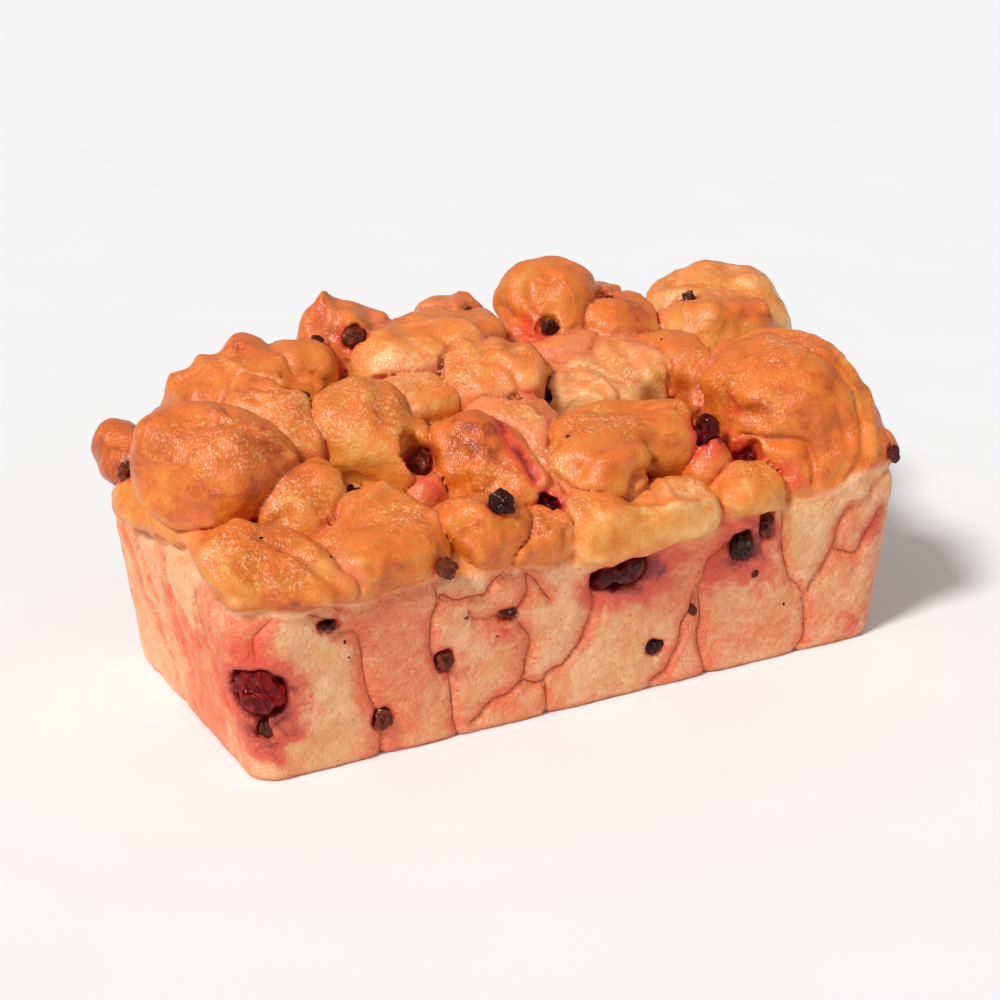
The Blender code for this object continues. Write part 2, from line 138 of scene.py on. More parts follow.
# Where a neighbour or the tin pressed a piece flat: the way the flat faces, and how deep it cuts the ball
FLATS = {
    "front_1": [((-0.10, -0.66, 0.74), 3.0), ((-0.95, -0.25, 0.2), 1.0)],
    "front_2": [((-0.15, -0.20, 0.96), 1.6), ((0.02, -0.93, 0.36), 2.2), ((0.5, -0.5, 0.7), 1.2)],
    "front_3": [((0.1, -0.75, 0.65), 1.6), ((-0.4, -0.8, 0.4), 1.0)],
    "front_4": [((0.0, -0.8, 0.6), 1.2), ((-0.5, -0.3, 0.8), 1.0)],
    "front_5": [((0.1, -0.30, 0.95), 2.2), ((0.0, -0.96, 0.25), 1.6), ((0.6, -0.6, 0.5), 1.2)],
    "front_6": [((-0.1, -0.45, 0.89), 1.4), ((0.2, -0.95, 0.2), 1.0)],
    "front_7": [((-0.35, -0.40, 0.85), 1.6), ((0.25, -0.60, 0.76), 1.2), ((-0.2, -0.95, 0.2), 2.0)],
    "second_1": [((-0.30, -0.35, 0.88), 2.4), ((0.35, -0.88, 0.3), 2.2), ((-0.8, -0.5, 0.3), 1.6)],
    "left_ear": [((-0.6, -0.6, 0.5), 1.6), ((-0.2, -0.1, 0.97), 1.0)],
    "left_rim": [((-0.7, -0.2, 0.68), 1.6)],
    "second_2": [((-0.2, -0.45, 0.87), 1.6), ((-0.5, -0.85, 0.1), 1.2)],
    "second_3": [((-0.35, -0.50, 0.79), 2.0), ((0.5, -0.6, 0.6), 1.6)],
    "second_4": [((-0.3, -0.70, 0.65), 1.8), ((0.5, -0.6, 0.6), 1.4)],
    "second_6": [((-0.05, -0.22, 0.97), 2.4), ((-0.1, -0.97, 0.2), 2.4), ((-0.75, -0.55, 0.35), 1.4)],
    "second_7": [((0.2, -0.9, 0.3), 1.2)],
    "strip": [((0.1, -0.5, 0.86), 2.0)],
    "third_1": [((-0.5, -0.40, 0.77), 1.8), ((0.5, -0.6, 0.6), 1.6)],
    "third_3": [((-0.3, -0.62, 0.72), 2.0), ((0.6, -0.5, 0.6), 1.4)],
    "third_4": [((-0.05, -0.12, 0.99), 2.0), ((0.1, -0.9, 0.4), 1.2)],
    "third_5": [((-0.3, -0.3, 0.9), 1.8), ((-0.3, -0.9, 0.3), 1.4)],
    "back_1": [((-0.3, -0.5, 0.81), 1.6), ((0.4, -0.3, 0.86), 1.2)],
    "back_3": [((-0.8, -0.5, 0.3), 1.6), ((0.3, -0.5, 0.8), 1.6)],
    "back_4": [((-0.1, -0.5, 0.86), 1.6)],
    "end_top": [((-0.2, -0.3, 0.93), 1.6)],
}
FLAT_ROUNDING = 4.0
# Each piece also gets flats of its own, drawn at random on its upper side
DRAWN_FLATS = 2
DRAWN_SEED = 900
DRAWN_SPREAD = (0.7, 0.7, 0.3)
DRAWN_LEAN = (0, 0, 0.6)
DRAWN_CUTS = (0.8, 1.8)
# Inner pieces were squeezed until they touched, so they are wider than the solid's; these keep their width
OUTER = ("left_ear", "left_rim", "back", "end", "right", "rim", "front")
SQUEEZE = 1.06
# Pieces at the edge keep a round underside, because it shows
ROUND_UNDER = ("front", "left", "right", "rim", "end", "second_1", "second_6", "back_6")
# What the top pieces rest in: middle x, y, z and half sizes
CORE = [(0, -26, 45, 104, 24, 14), (-5, 6, 50, 98, 28, 22), (0, 30, 56, 98, 20, 26),
        (84, -10, 50, 22, 30, 22)]
CORE_JOIN = 4.0
print("dough pieces", len(TOP_PIECES), "lobes", sum(len(lobes) for lobes in TOP_PIECES.values()))

# %% [markdown]
# ## Distance to one piece
# A lobe is a full ellipsoid, whose lower half may reach down so that it stays rooted in the loaf. Lobes of
# one piece run into each other with a soft join. A slow, seeded wandering of space takes the regularity off.

# %% Distance functions
LOBE_JOIN = 5.0


def waves(points, size, seed, count=4):
    """A soft, seeded wandering of points, with bends about as far apart as the given size."""
    draw = np.random.default_rng(seed)
    total = np.zeros_like(points)
    for _ in range(count):
        way = draw.normal(size=3)
        way *= 2 * np.pi / size / np.linalg.norm(way) * draw.uniform(0.7, 1.4)
        wave = np.sin(points @ way.astype(points.dtype) + points.dtype.type(draw.uniform(0, 2 * np.pi)))
        total += wave[..., None] * draw.normal(size=3).astype(points.dtype)
    return total / points.dtype.type(np.sqrt(count))


def wandered(points, *bends):
    """Points moved by waves: the size, the seed and the strength of each."""
    moved = points
    for size, seed, strength in bends:
        moved = moved + waves(points, size, seed) * strength
    return moved


def soft_min(first, second, reach):
    near = np.maximum(reach - np.abs(first - second), 0) / reach
    return np.minimum(first, second) - near * near * reach / 4


def soft_max(first, second, reach):
    return -soft_min(-first, -second, reach)


def turned(tilt, spin):
    return np.array(Matrix.Rotation(np.radians(spin), 3, "Z") @ Matrix.Rotation(np.radians(tilt), 3, "Y"))


def lobe_distance(points, middle, half, tilt=0.0, spin=0.0, deep=1.0):
    local = (points - np.array(middle, points.dtype)) @ turned(tilt, spin).astype(points.dtype)
    lower = np.array((1.0, 1.0, deep), points.dtype)
    size = np.array(half, points.dtype) * np.where(local[..., 2:] < 0, lower, points.dtype.type(1))
    share = np.abs(local) / size + points.dtype.type(1e-6)
    reach = (share ** FULLNESS).sum(-1) ** (1 / FULLNESS)
    slope = np.sqrt(((share ** (FULLNESS - 1) / size) ** 2).sum(-1)) / reach ** (FULLNESS - 1)
    return (reach - 1) / np.maximum(slope, 1e-6)


def lobes_of(name):
    """The lobes of a piece with all their turns, the inner pieces widened."""
    wider = 1.0 if name.startswith(OUTER) else SQUEEZE
    return [(x, y, z, along * wider, across * wider, up, *(turns or (0, 0)))
            for x, y, z, along, across, up, *turns in TOP_PIECES[name]]


def depth_of(name):
    return 1.0 if name.startswith(ROUND_UNDER) else DEEP


def farthest(lobes, way):
    """How far a piece reaches in a direction."""
    power = FULLNESS / (FULLNESS - 1)
    sizes = [np.abs(lobe[3:6] * (way @ turned(*lobe[6:]))) for lobe in np.array(lobes)]
    return max(np.dot(lobe[:3], way) + (size ** power).sum() ** (1 / power)
               for lobe, size in zip(lobes, sizes))


def flats_of(number, name):
    """The flats of a piece: those listed, and the drawn ones."""
    draw = np.random.default_rng(DRAWN_SEED + number)
    drawn = [(draw.normal(size=3) * DRAWN_SPREAD + DRAWN_LEAN, draw.uniform(*DRAWN_CUTS))
             for _ in range(DRAWN_FLATS)]
    return [(np.array(way) / np.linalg.norm(way), cut) for way, cut in FLATS.get(name, []) + drawn]


def piece_distance(points, number, name):
    moved = wandered(points, (36, 10 + number, 1.1), (12, 110 + number, 0.65))
    lobes = lobes_of(name)
    total = None
    for lobe in lobes:
        one = lobe_distance(moved, lobe[:3], lobe[3:6], *lobe[6:], depth_of(name))
        total = one if total is None else soft_min(total, one, LOBE_JOIN)
    for way, cut in flats_of(number, name):
        flat = moved @ way.astype(moved.dtype) - moved.dtype.type(farthest(lobes, way) - cut)
        total = soft_max(total, flat, FLAT_ROUNDING)
    return total


def piece_box(name, margin):
    lobes = np.array(lobes_of(name), float)
    reach = lobes[:, 3:6] * np.array([1.0, 1.0, depth_of(name)])
    reach = np.array([np.abs(turned(*lobe[6:])) @ size for lobe, size in zip(lobes, reach)])
    return (lobes[:, :3] - reach).min(0) - margin, (lobes[:, :3] + reach).max(0) + margin


print("front_1 reaches from", piece_box("front_1", 0)[0], "to", piece_box("front_1", 0)[1])

# %% [markdown]
# ## The sides
# The tin pressed the lower dough flat, so the sides are one tapered block with rounded corners. Distance to
# a block with two faces that meet in a rounded edge is a short formula, used for the foot and the shoulder.

# %% The block that the tin shaped
def rounded_join(first, second, radius):
    u = first + radius
    v = second + radius
    return np.hypot(np.maximum(u, 0), np.maximum(v, 0)) + np.minimum(np.maximum(u, v), 0) - radius


def outside_tin(points):
    """How far outside the tapered tin points are, along X and along Y, and their share of its height."""
    height = np.clip(points[..., 2] / RIM_HEIGHT, 0, 1.25)
    half_length = (BASE_LENGTH + (RIM_LENGTH - BASE_LENGTH) * height) / 2
    half_width = (BASE_WIDTH + (RIM_WIDTH - BASE_WIDTH) * height) / 2
    return np.abs(points[..., 0]) - half_length, np.abs(points[..., 1]) - half_width, height


def block_distance(points):
    x, y, height = outside_tin(points)
    side = rounded_join(x, y, CORNER_RADIUS + CORNER_RADIUS_GAIN * height)
    block = rounded_join(side, -FOOT_DROP - points[..., 2], FOOT_RADIUS)
    return rounded_join(block, points[..., 2] - SIDE_TOP, SIDE_TOP_RADIUS) + SIDE_SHRINK


def inner_distance(points):
    """Distance to the block together with the core that the pieces rest in."""
    total = block_distance(points)
    for lobe in CORE:
        total = soft_min(total, lobe_distance(points, lobe[:3], lobe[3:]), CORE_JOIN)
    return total


print("half width of the side at the rim", RIM_WIDTH / 2)

# %% [markdown]
# ## The grid
# The distance is worked out on a grid of points, and the surface is where it is zero. A piece is only
# worked out near itself. Where two pieces are almost equally near, the distance grows a little, which sinks
# a crease.

# %% Fill the grid
CELL = 0.9
SWELL = 2.1
SWELL_REACH = 3.4
CREASE_DEPTH = 2.0
CREASE_WIDTH = 0.8
SIDE_JOIN = 2.5
BAND = 3 * CELL
LOW = np.array([-124.0, -66.0, -4.0])
HIGH = np.array([125.0, 67.0, 114.0])
# Room around a piece in which it is worked out, and the distance that stands for far away
PIECE_MARGIN = 8
FAR_PIECE = 50.0


def grid_points(axes):
    return np.stack(np.meshgrid(*axes, indexing="ij"), -1).astype(np.float32)


def grid_cut(axes, low, high):
    """The part of the grid between two corners."""
    return tuple(slice(*np.searchsorted(axis, (low[i], high[i]))) for i, axis in enumerate(axes))


def between(points, low, high):
    return np.flatnonzero(((points > low) & (points < high)).all(1))


def nearest_pieces(points, region):
    """Distance to the nearest piece and to the next one, and the number of the nearest."""
    nearest = np.full(points.shape[:-1], FAR_PIECE, points.dtype)
    second = nearest.copy()
    owner = np.full(points.shape[:-1], -1)
    for number, name in enumerate(TOP_PIECES):
        here = region(*piece_box(name, PIECE_MARGIN))
        one = piece_distance(np.ascontiguousarray(points[here]), number, name)
        owner[here] = np.where(one < nearest[here], number, owner[here])
        second[here] = np.minimum(second[here], np.maximum(nearest[here], one))
        nearest[here] = np.minimum(nearest[here], one)
    return nearest, second, owner


def swollen(nearest, second):
    """Swells a piece toward its neighbour, and sinks the crease where the two meet."""
    swell = SWELL * np.exp(-np.maximum(second, 0) / SWELL_REACH)
    return nearest - swell + CREASE_DEPTH * np.exp(-((second - nearest) / CREASE_WIDTH) ** 2)


def loaf_grid(axes):
    everywhere = grid_points(axes)
    nearest, second, _ = nearest_pieces(everywhere, lambda low, high: grid_cut(axes, low, high))
    total = soft_min(inner_distance(everywhere), swollen(nearest, second), SIDE_JOIN)
    return np.maximum(total, -everywhere[..., 2])


axes = [np.arange(LOW[i], HIGH[i], CELL) for i in range(3)]
distance = loaf_grid(axes)
print("grid", distance.shape, "inside share", round(float((distance < 0).mean()), 3))

# %% [markdown]
# ## Hollows for the fruit
# Dough shrinks back from a fruit as both dry in the oven, so each fruit sits in a small hollow with its outer
# part showing. The hollow is the fruit's own size and a little more, moved outward along the way the surface
# faces, and is cut from the grid with a soft edge. The inner part of the fruit stays embedded.

# %% Press the hollows
HOLLOW_GAP = {"cherry": 0.7, "raisin": 0.3}
HOLLOW_SHIFT = 0.40
HOLLOW_EDGE = 0.9
HOLLOW_ROOM = 3
# Fruit that lies in a crease shows only where the dough gaps: the ways that gap faces
BESIDE_CREASE = [(-0.42, -0.76, 0.50), (-0.65, -0.35, 0.68)]
GAPS = {
    "raisin_03": [(-0.42, -0.74, 0.53), (-0.70, -0.30, 0.65)], "raisin_04": BESIDE_CREASE,
    "raisin_06": BESIDE_CREASE, "raisin_08": [(-0.3, -0.5, 0.8)], "cherry_5": [(-0.4, -0.7, 0.6)],
}
GAP_STEPS = (1.2, 2.1)
GAP_GROWTH = 0.22


def kind_of(name):
    return name.split("_")[0]


def fruit_box(name):
    low, high = (np.array(corner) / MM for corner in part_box(name))
    return (low + high) / 2, (high - low) / 2


def way_out(middle, reach=4):
    """The direction in which the surface near a point faces."""
    near = []
    for axis, place in zip(axes, middle):
        at = int(np.clip(np.searchsorted(axis, place), reach, len(axis) - reach - 1))
        near.append(slice(at - reach, at + reach + 1))
    slope = np.array([part.mean() for part in np.gradient(distance[tuple(near)])])
    return slope / np.linalg.norm(slope)


def press_hollow(name):
    middle, half = fruit_box(name)
    ways = [np.array(way) for way in GAPS.get(name, [])] or [way_out(middle)]
    reach = max(np.linalg.norm(half * out) for out in ways)
    half = half + HOLLOW_GAP[kind_of(name)]
    steps = (HOLLOW_SHIFT, *GAP_STEPS) if name in GAPS else (HOLLOW_SHIFT,)
    around = half + reach * steps[-1] + HOLLOW_ROOM
    cut = grid_cut(axes, middle - around, middle + around)
    here = wandered(grid_points([axis[part] for axis, part in zip(axes, cut)]), (7, 300, 0.45))
    for out in ways:
        for step in steps:
            size = half * (1 + GAP_GROWTH * (step - HOLLOW_SHIFT))
            hollow = lobe_distance(here, middle + out * reach * step, size)
            distance[cut] = soft_max(distance[cut], -hollow, HOLLOW_EDGE)


fruit_names = sorted(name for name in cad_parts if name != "loaf")
for name in fruit_names:
    press_hollow(name)
print("hollows", len(fruit_names), "inside share", round(float((distance < 0).mean()), 3))

# %% [markdown]
# ## From numbers to a mesh
# Blender carries the OpenVDB library, which walks through such a grid and lays a quad wherever the surface
# passes. The mesh that comes back is even, closed and needs no joining.

# %% Lay the surface
def surface_of(distance):
    grid = openvdb.FloatGrid()
    grid.background = BAND
    grid.copyFromArray(np.clip(distance, -BAND, BAND).astype(np.float32))
    points, _, quads = grid.convertToPolygons(isovalue=0.0, adaptivity=0.0)
    return points * CELL + LOW, np.asarray(quads)


def mesh_from(name, points, faces):
    mesh = bpy.data.meshes.new(name)
    mesh.vertices.add(len(points))
    mesh.vertices.foreach_set("co", (points * MM).astype(np.float32).ravel())
    count, corners = faces.shape
    mesh.loops.add(count * corners)
    mesh.loops.foreach_set("vertex_index", faces.astype(np.int32).ravel())
    mesh.polygons.add(count)
    mesh.polygons.foreach_set("loop_start", np.arange(0, count * corners, corners, dtype=np.int32))
    mesh.update(calc_edges=True)
    mesh.shade_smooth()
    return mesh


def normals_of(points, faces):
    mesh = mesh_from("measure", points, faces)
    normals = np.zeros(len(points) * 3, np.float32)
    mesh.vertex_normals.foreach_get("vector", normals)
    bpy.data.meshes.remove(mesh)
    return normals.reshape(-1, 3).astype(float)


points, faces = surface_of(distance)
normals = normals_of(points, faces)
print("quads", len(faces), "box", points.min(0).round(1), points.max(0).round(1))

# %% [markdown]
# ## Which piece a point belongs to
# Colour and relief need to know more about each point: which ball it lies on, and how close the next one is.

# %% Owner and crease of each point
def owners(points):
    nearest, second, owner = nearest_pieces(points, lambda low, high: between(points, low, high))
    inner = inner_distance(points)
    owner[inner < nearest] = -1
    second = np.minimum(second, np.maximum(nearest, inner))
    return owner, second - np.minimum(nearest, inner)


owner, next_gap = owners(points)
on_top = owner >= 0
print("points on the sides", int((~on_top).sum()), "on the top", int(on_top.sum()))

# %% [markdown]
# ## Seams of the sides
# Where two fused pieces meet, the tin left a thin seam. On the front and the left end they are curves through
# a few points, given along the wall and upwards. The far walls get theirs from scattered piece middles: the
# seam is where two middles are equally near, which is how soft balls packed in a box divide it.

# %% Seam curves
FRONT_SEAMS = {
    "under the corner ball": [(-113, 56), (-106, 55), (-97, 55), (-88, 54), (-80, 51)],
    "arch over the corner piece": [(-103, 40), (-103, 47), (-99, 51), (-92, 53), (-86, 49), (-79, 44)],
    "corner piece, right": [(-81, 44), (-75, 42), (-73, 36), (-73, 29), (-70, 20), (-66, 12), (-65, 0)],
    "second piece, right": [(-51, 56), (-50, 46), (-52, 37), (-51, 31), (-46, 23), (-45, 12), (-42, 0)],
    "small lobe under the crust": [(-49, 48), (-46, 46), (-42, 45), (-36, 46), (-31, 49), (-29, 53)],
    "oval lobe": [(-39, 40), (-36, 37), (-28, 36), (-23, 40), (-22, 46), (-23, 51)],
    "hook beside it": [(-22, 49), (-19, 44), (-14, 39)],
    "third piece, right": [(-26, 37), (-22, 30), (-20, 22), (-22, 14), (-28, 10), (-37, 5)],
    "fourth piece, right": [(-1, 52), (0, 40), (0, 31), (-3, 22), (-9, 16), (-16, 12), (-22, 13)],
    "foot of the fourth": [(-14, 13), (-13, 6), (-12, 0)],
    "long piece, right": [(50, 44), (41, 42), (37, 36), (34, 26), (31, 17), (29, 9), (22, 1)],
    "fifth piece, left": [(36, 32), (37, 22), (38, 12), (42, 1)],
    "tongue, left": [(63, 52), (64, 42), (67, 32), (71, 24), (74, 20)],
    "fifth piece, right": [(74, 20), (76, 13), (76, 6), (74, 0)],
    "tongue, right": [(74, 19), (79, 26), (83, 34), (84, 42), (90, 50), (97, 56)],
    "last small lobe": [(84, 34), (88, 31), (92, 32), (97, 39), (100, 44)],
}
LEFT_SEAMS = {
    "tongue": [(2, 52), (0, 45), (-3, 41), (-9, 37), (-17, 32), (-19, 35), (-21, 43), (-24, 52)],
    "below the tongue": [(0, 44), (0, 34), (-3, 26), (-6, 18)],
    "left fold": [(36, 50), (27, 38), (26, 30), (17, 23), (12, 14), (8, 0)],
    "upper fold": [(24, 50), (19, 40), (13, 33)],
    "toward the corner": [(-21, 52), (-24, 44), (-26, 35), (-31, 27), (-36, 16)],
}
# Middles of the pieces on all four sides, with how pink each one is
SIDE_PIECES = [
    (-90, -51, 26, 0.15), (-64, -51, 35, 0.85), (-37, -49, 17, 0.45), (-41, -53, 50, 0.3),
    (-30, -52, 41, 0.55), (-12, -51, 27, 0.2), (-12, -53, 46, 0.5), (-22, -48, 4, 0.6), (14, -50, 19, 0.35),
    (31, -52, 42, 0.75), (35, -49, 9, 0.6), (55, -50, 20, 0.4), (73, -52, 43, 0.1), (91, -50, 20, 0.5),
    (92, -52, 42, 0.3), (-110, 19, 47, 0.4), (-109, -14, 41, 0.1), (-106, 19, 17, 0.15),
    (-110, -40, 46, 0.7), (-106, -17, 15, 0.85), (-104, -38, 12, 0.5), (108, -26, 16, 0.5),
    (110, -8, 44, 0.2), (107, 18, 18, 0.3), (110, 34, 46, 0.6), (-86, 50, 40, 0.2), (-66, 49, 14, 0.6),
    (-44, 51, 38, 0.3), (-22, 49, 12, 0.5), (2, 51, 42, 0.15), (18, 49, 16, 0.7), (44, 51, 36, 0.3),
    (66, 49, 12, 0.5), (88, 51, 42, 0.2), (92, 48, 14, 0.6),
]
SEAM_UPRIGHT = 0.62
PINK_FADE = 1.5
FAR = 30.0
WALL_TOP = 62
FRONT_WALL = -40
LEFT_WALL = -95
RIGHT_WALL = 101
BACK_WALL = 40
# The seam between two middles is about half as far as one of them is farther than the other
GAP_TO_SEAM = 0.55
NEAR_LINE = 12


def smooth_line(knots, step=1.0):
    """Points about a step apart on a smooth curve through the knots."""
    knots = np.array(knots, float)
    ends = np.vstack([2 * knots[0] - knots[1], knots, 2 * knots[-1] - knots[-2]])
    line = []
    for a, b, c, d in zip(ends[:-3], ends[1:-2], ends[2:-1], ends[3:]):
        for t in np.arange(0, 1, step / max(np.linalg.norm(c - b), step)):
            line.append(b + t * (c - a) / 2 + t ** 2 * (a - 2.5 * b + 2 * c - d / 2)
                        + t ** 3 * (-a / 2 + 1.5 * b - 1.5 * c + d / 2))
    return np.array(line + [knots[-1]])


def line_distance(places, line, signed=False):
    """Distance of each place to a line of close points. In a plane, its sign can tell the side."""
    best = np.full(len(places), FAR)
    for start, end in zip(line[:-1], line[1:]):
        way = end - start
        away = places - start
        share = np.clip((away @ way) / max(way @ way, 1e-9), 0, 1)
        gap = np.linalg.norm(away - share[:, None] * way, axis=1)
        if signed:
            gap = np.where(way[0] * away[:, 1] < way[1] * away[:, 0], -gap, gap)
        best = np.where(np.abs(gap) < np.abs(best), gap, best)
    return best


def nearby_distance(points, knots):
    """Distance to a smooth curve, worked out only near it."""
    line = smooth_line(knots)
    best = np.full(len(points), FAR)
    here = between(points, line.min(0) - NEAR_LINE, line.max(0) + NEAR_LINE)
    best[here] = line_distance(points[here], line)
    return best


def side_middles(points):
    """How much farther the second nearest middle is than the nearest, and the pinkness around."""
    moved = wandered(points, (30, 501, 3.0), (12, 502, 1.0))
    stretch = np.array([1.0, 1.0, SEAM_UPRIGHT])
    middles = np.array(SIDE_PIECES)
    away = np.array([np.linalg.norm((moved - middle[:3]) * stretch, axis=1) for middle in middles])
    weight = np.exp(-(away - away.min(0)) / PINK_FADE)
    pink = (weight * middles[:, 3:]).sum(0) / weight.sum(0)
    away.sort(axis=0)
    return away[1] - away[0], pink


def seam_distance(points, gap):
    """Signed distance to the nearest seam: curves on the near walls, middles on the far ones."""
    wander = wandered(points, (9, 77, 0.6), (4, 78, 0.25))
    front_wall = (points[:, 1] < FRONT_WALL) & (points[:, 2] < WALL_TOP)
    left_wall = (points[:, 0] < LEFT_WALL) & ~front_wall & (points[:, 2] < WALL_TOP)
    seam = np.full(len(points), FAR)
    for wall, flat, seams in ((front_wall, [0, 2], FRONT_SEAMS), (left_wall, [1, 2], LEFT_SEAMS)):
        places = wander[wall][:, flat]
        near = np.full(len(places), FAR)
        for knots in seams.values():
            one = line_distance(places, smooth_line(knots, 1.5), signed=True)
            near = np.where(np.abs(one) < np.abs(near), one, near)
        seam[wall] = near
    far_wall = (points[:, 0] > RIGHT_WALL) | (points[:, 1] > BACK_WALL)
    return np.where(far_wall & ~front_wall, gap * GAP_TO_SEAM, seam)


piece_gap, pinkness = side_middles(points)
seam_side = seam_distance(points, piece_gap)
seam = np.abs(seam_side)
print("points within 1 mm of a seam", int((seam < 1).sum()))

# %% [markdown]
# ## Relief
# The points now move in and out along their normals: seams sink, the pieces between them swell, and a slow
# roughness keeps any stretch of skin from being perfectly smooth. Folds are drawn as lines in space where
# the dough was stretched or tucked under.

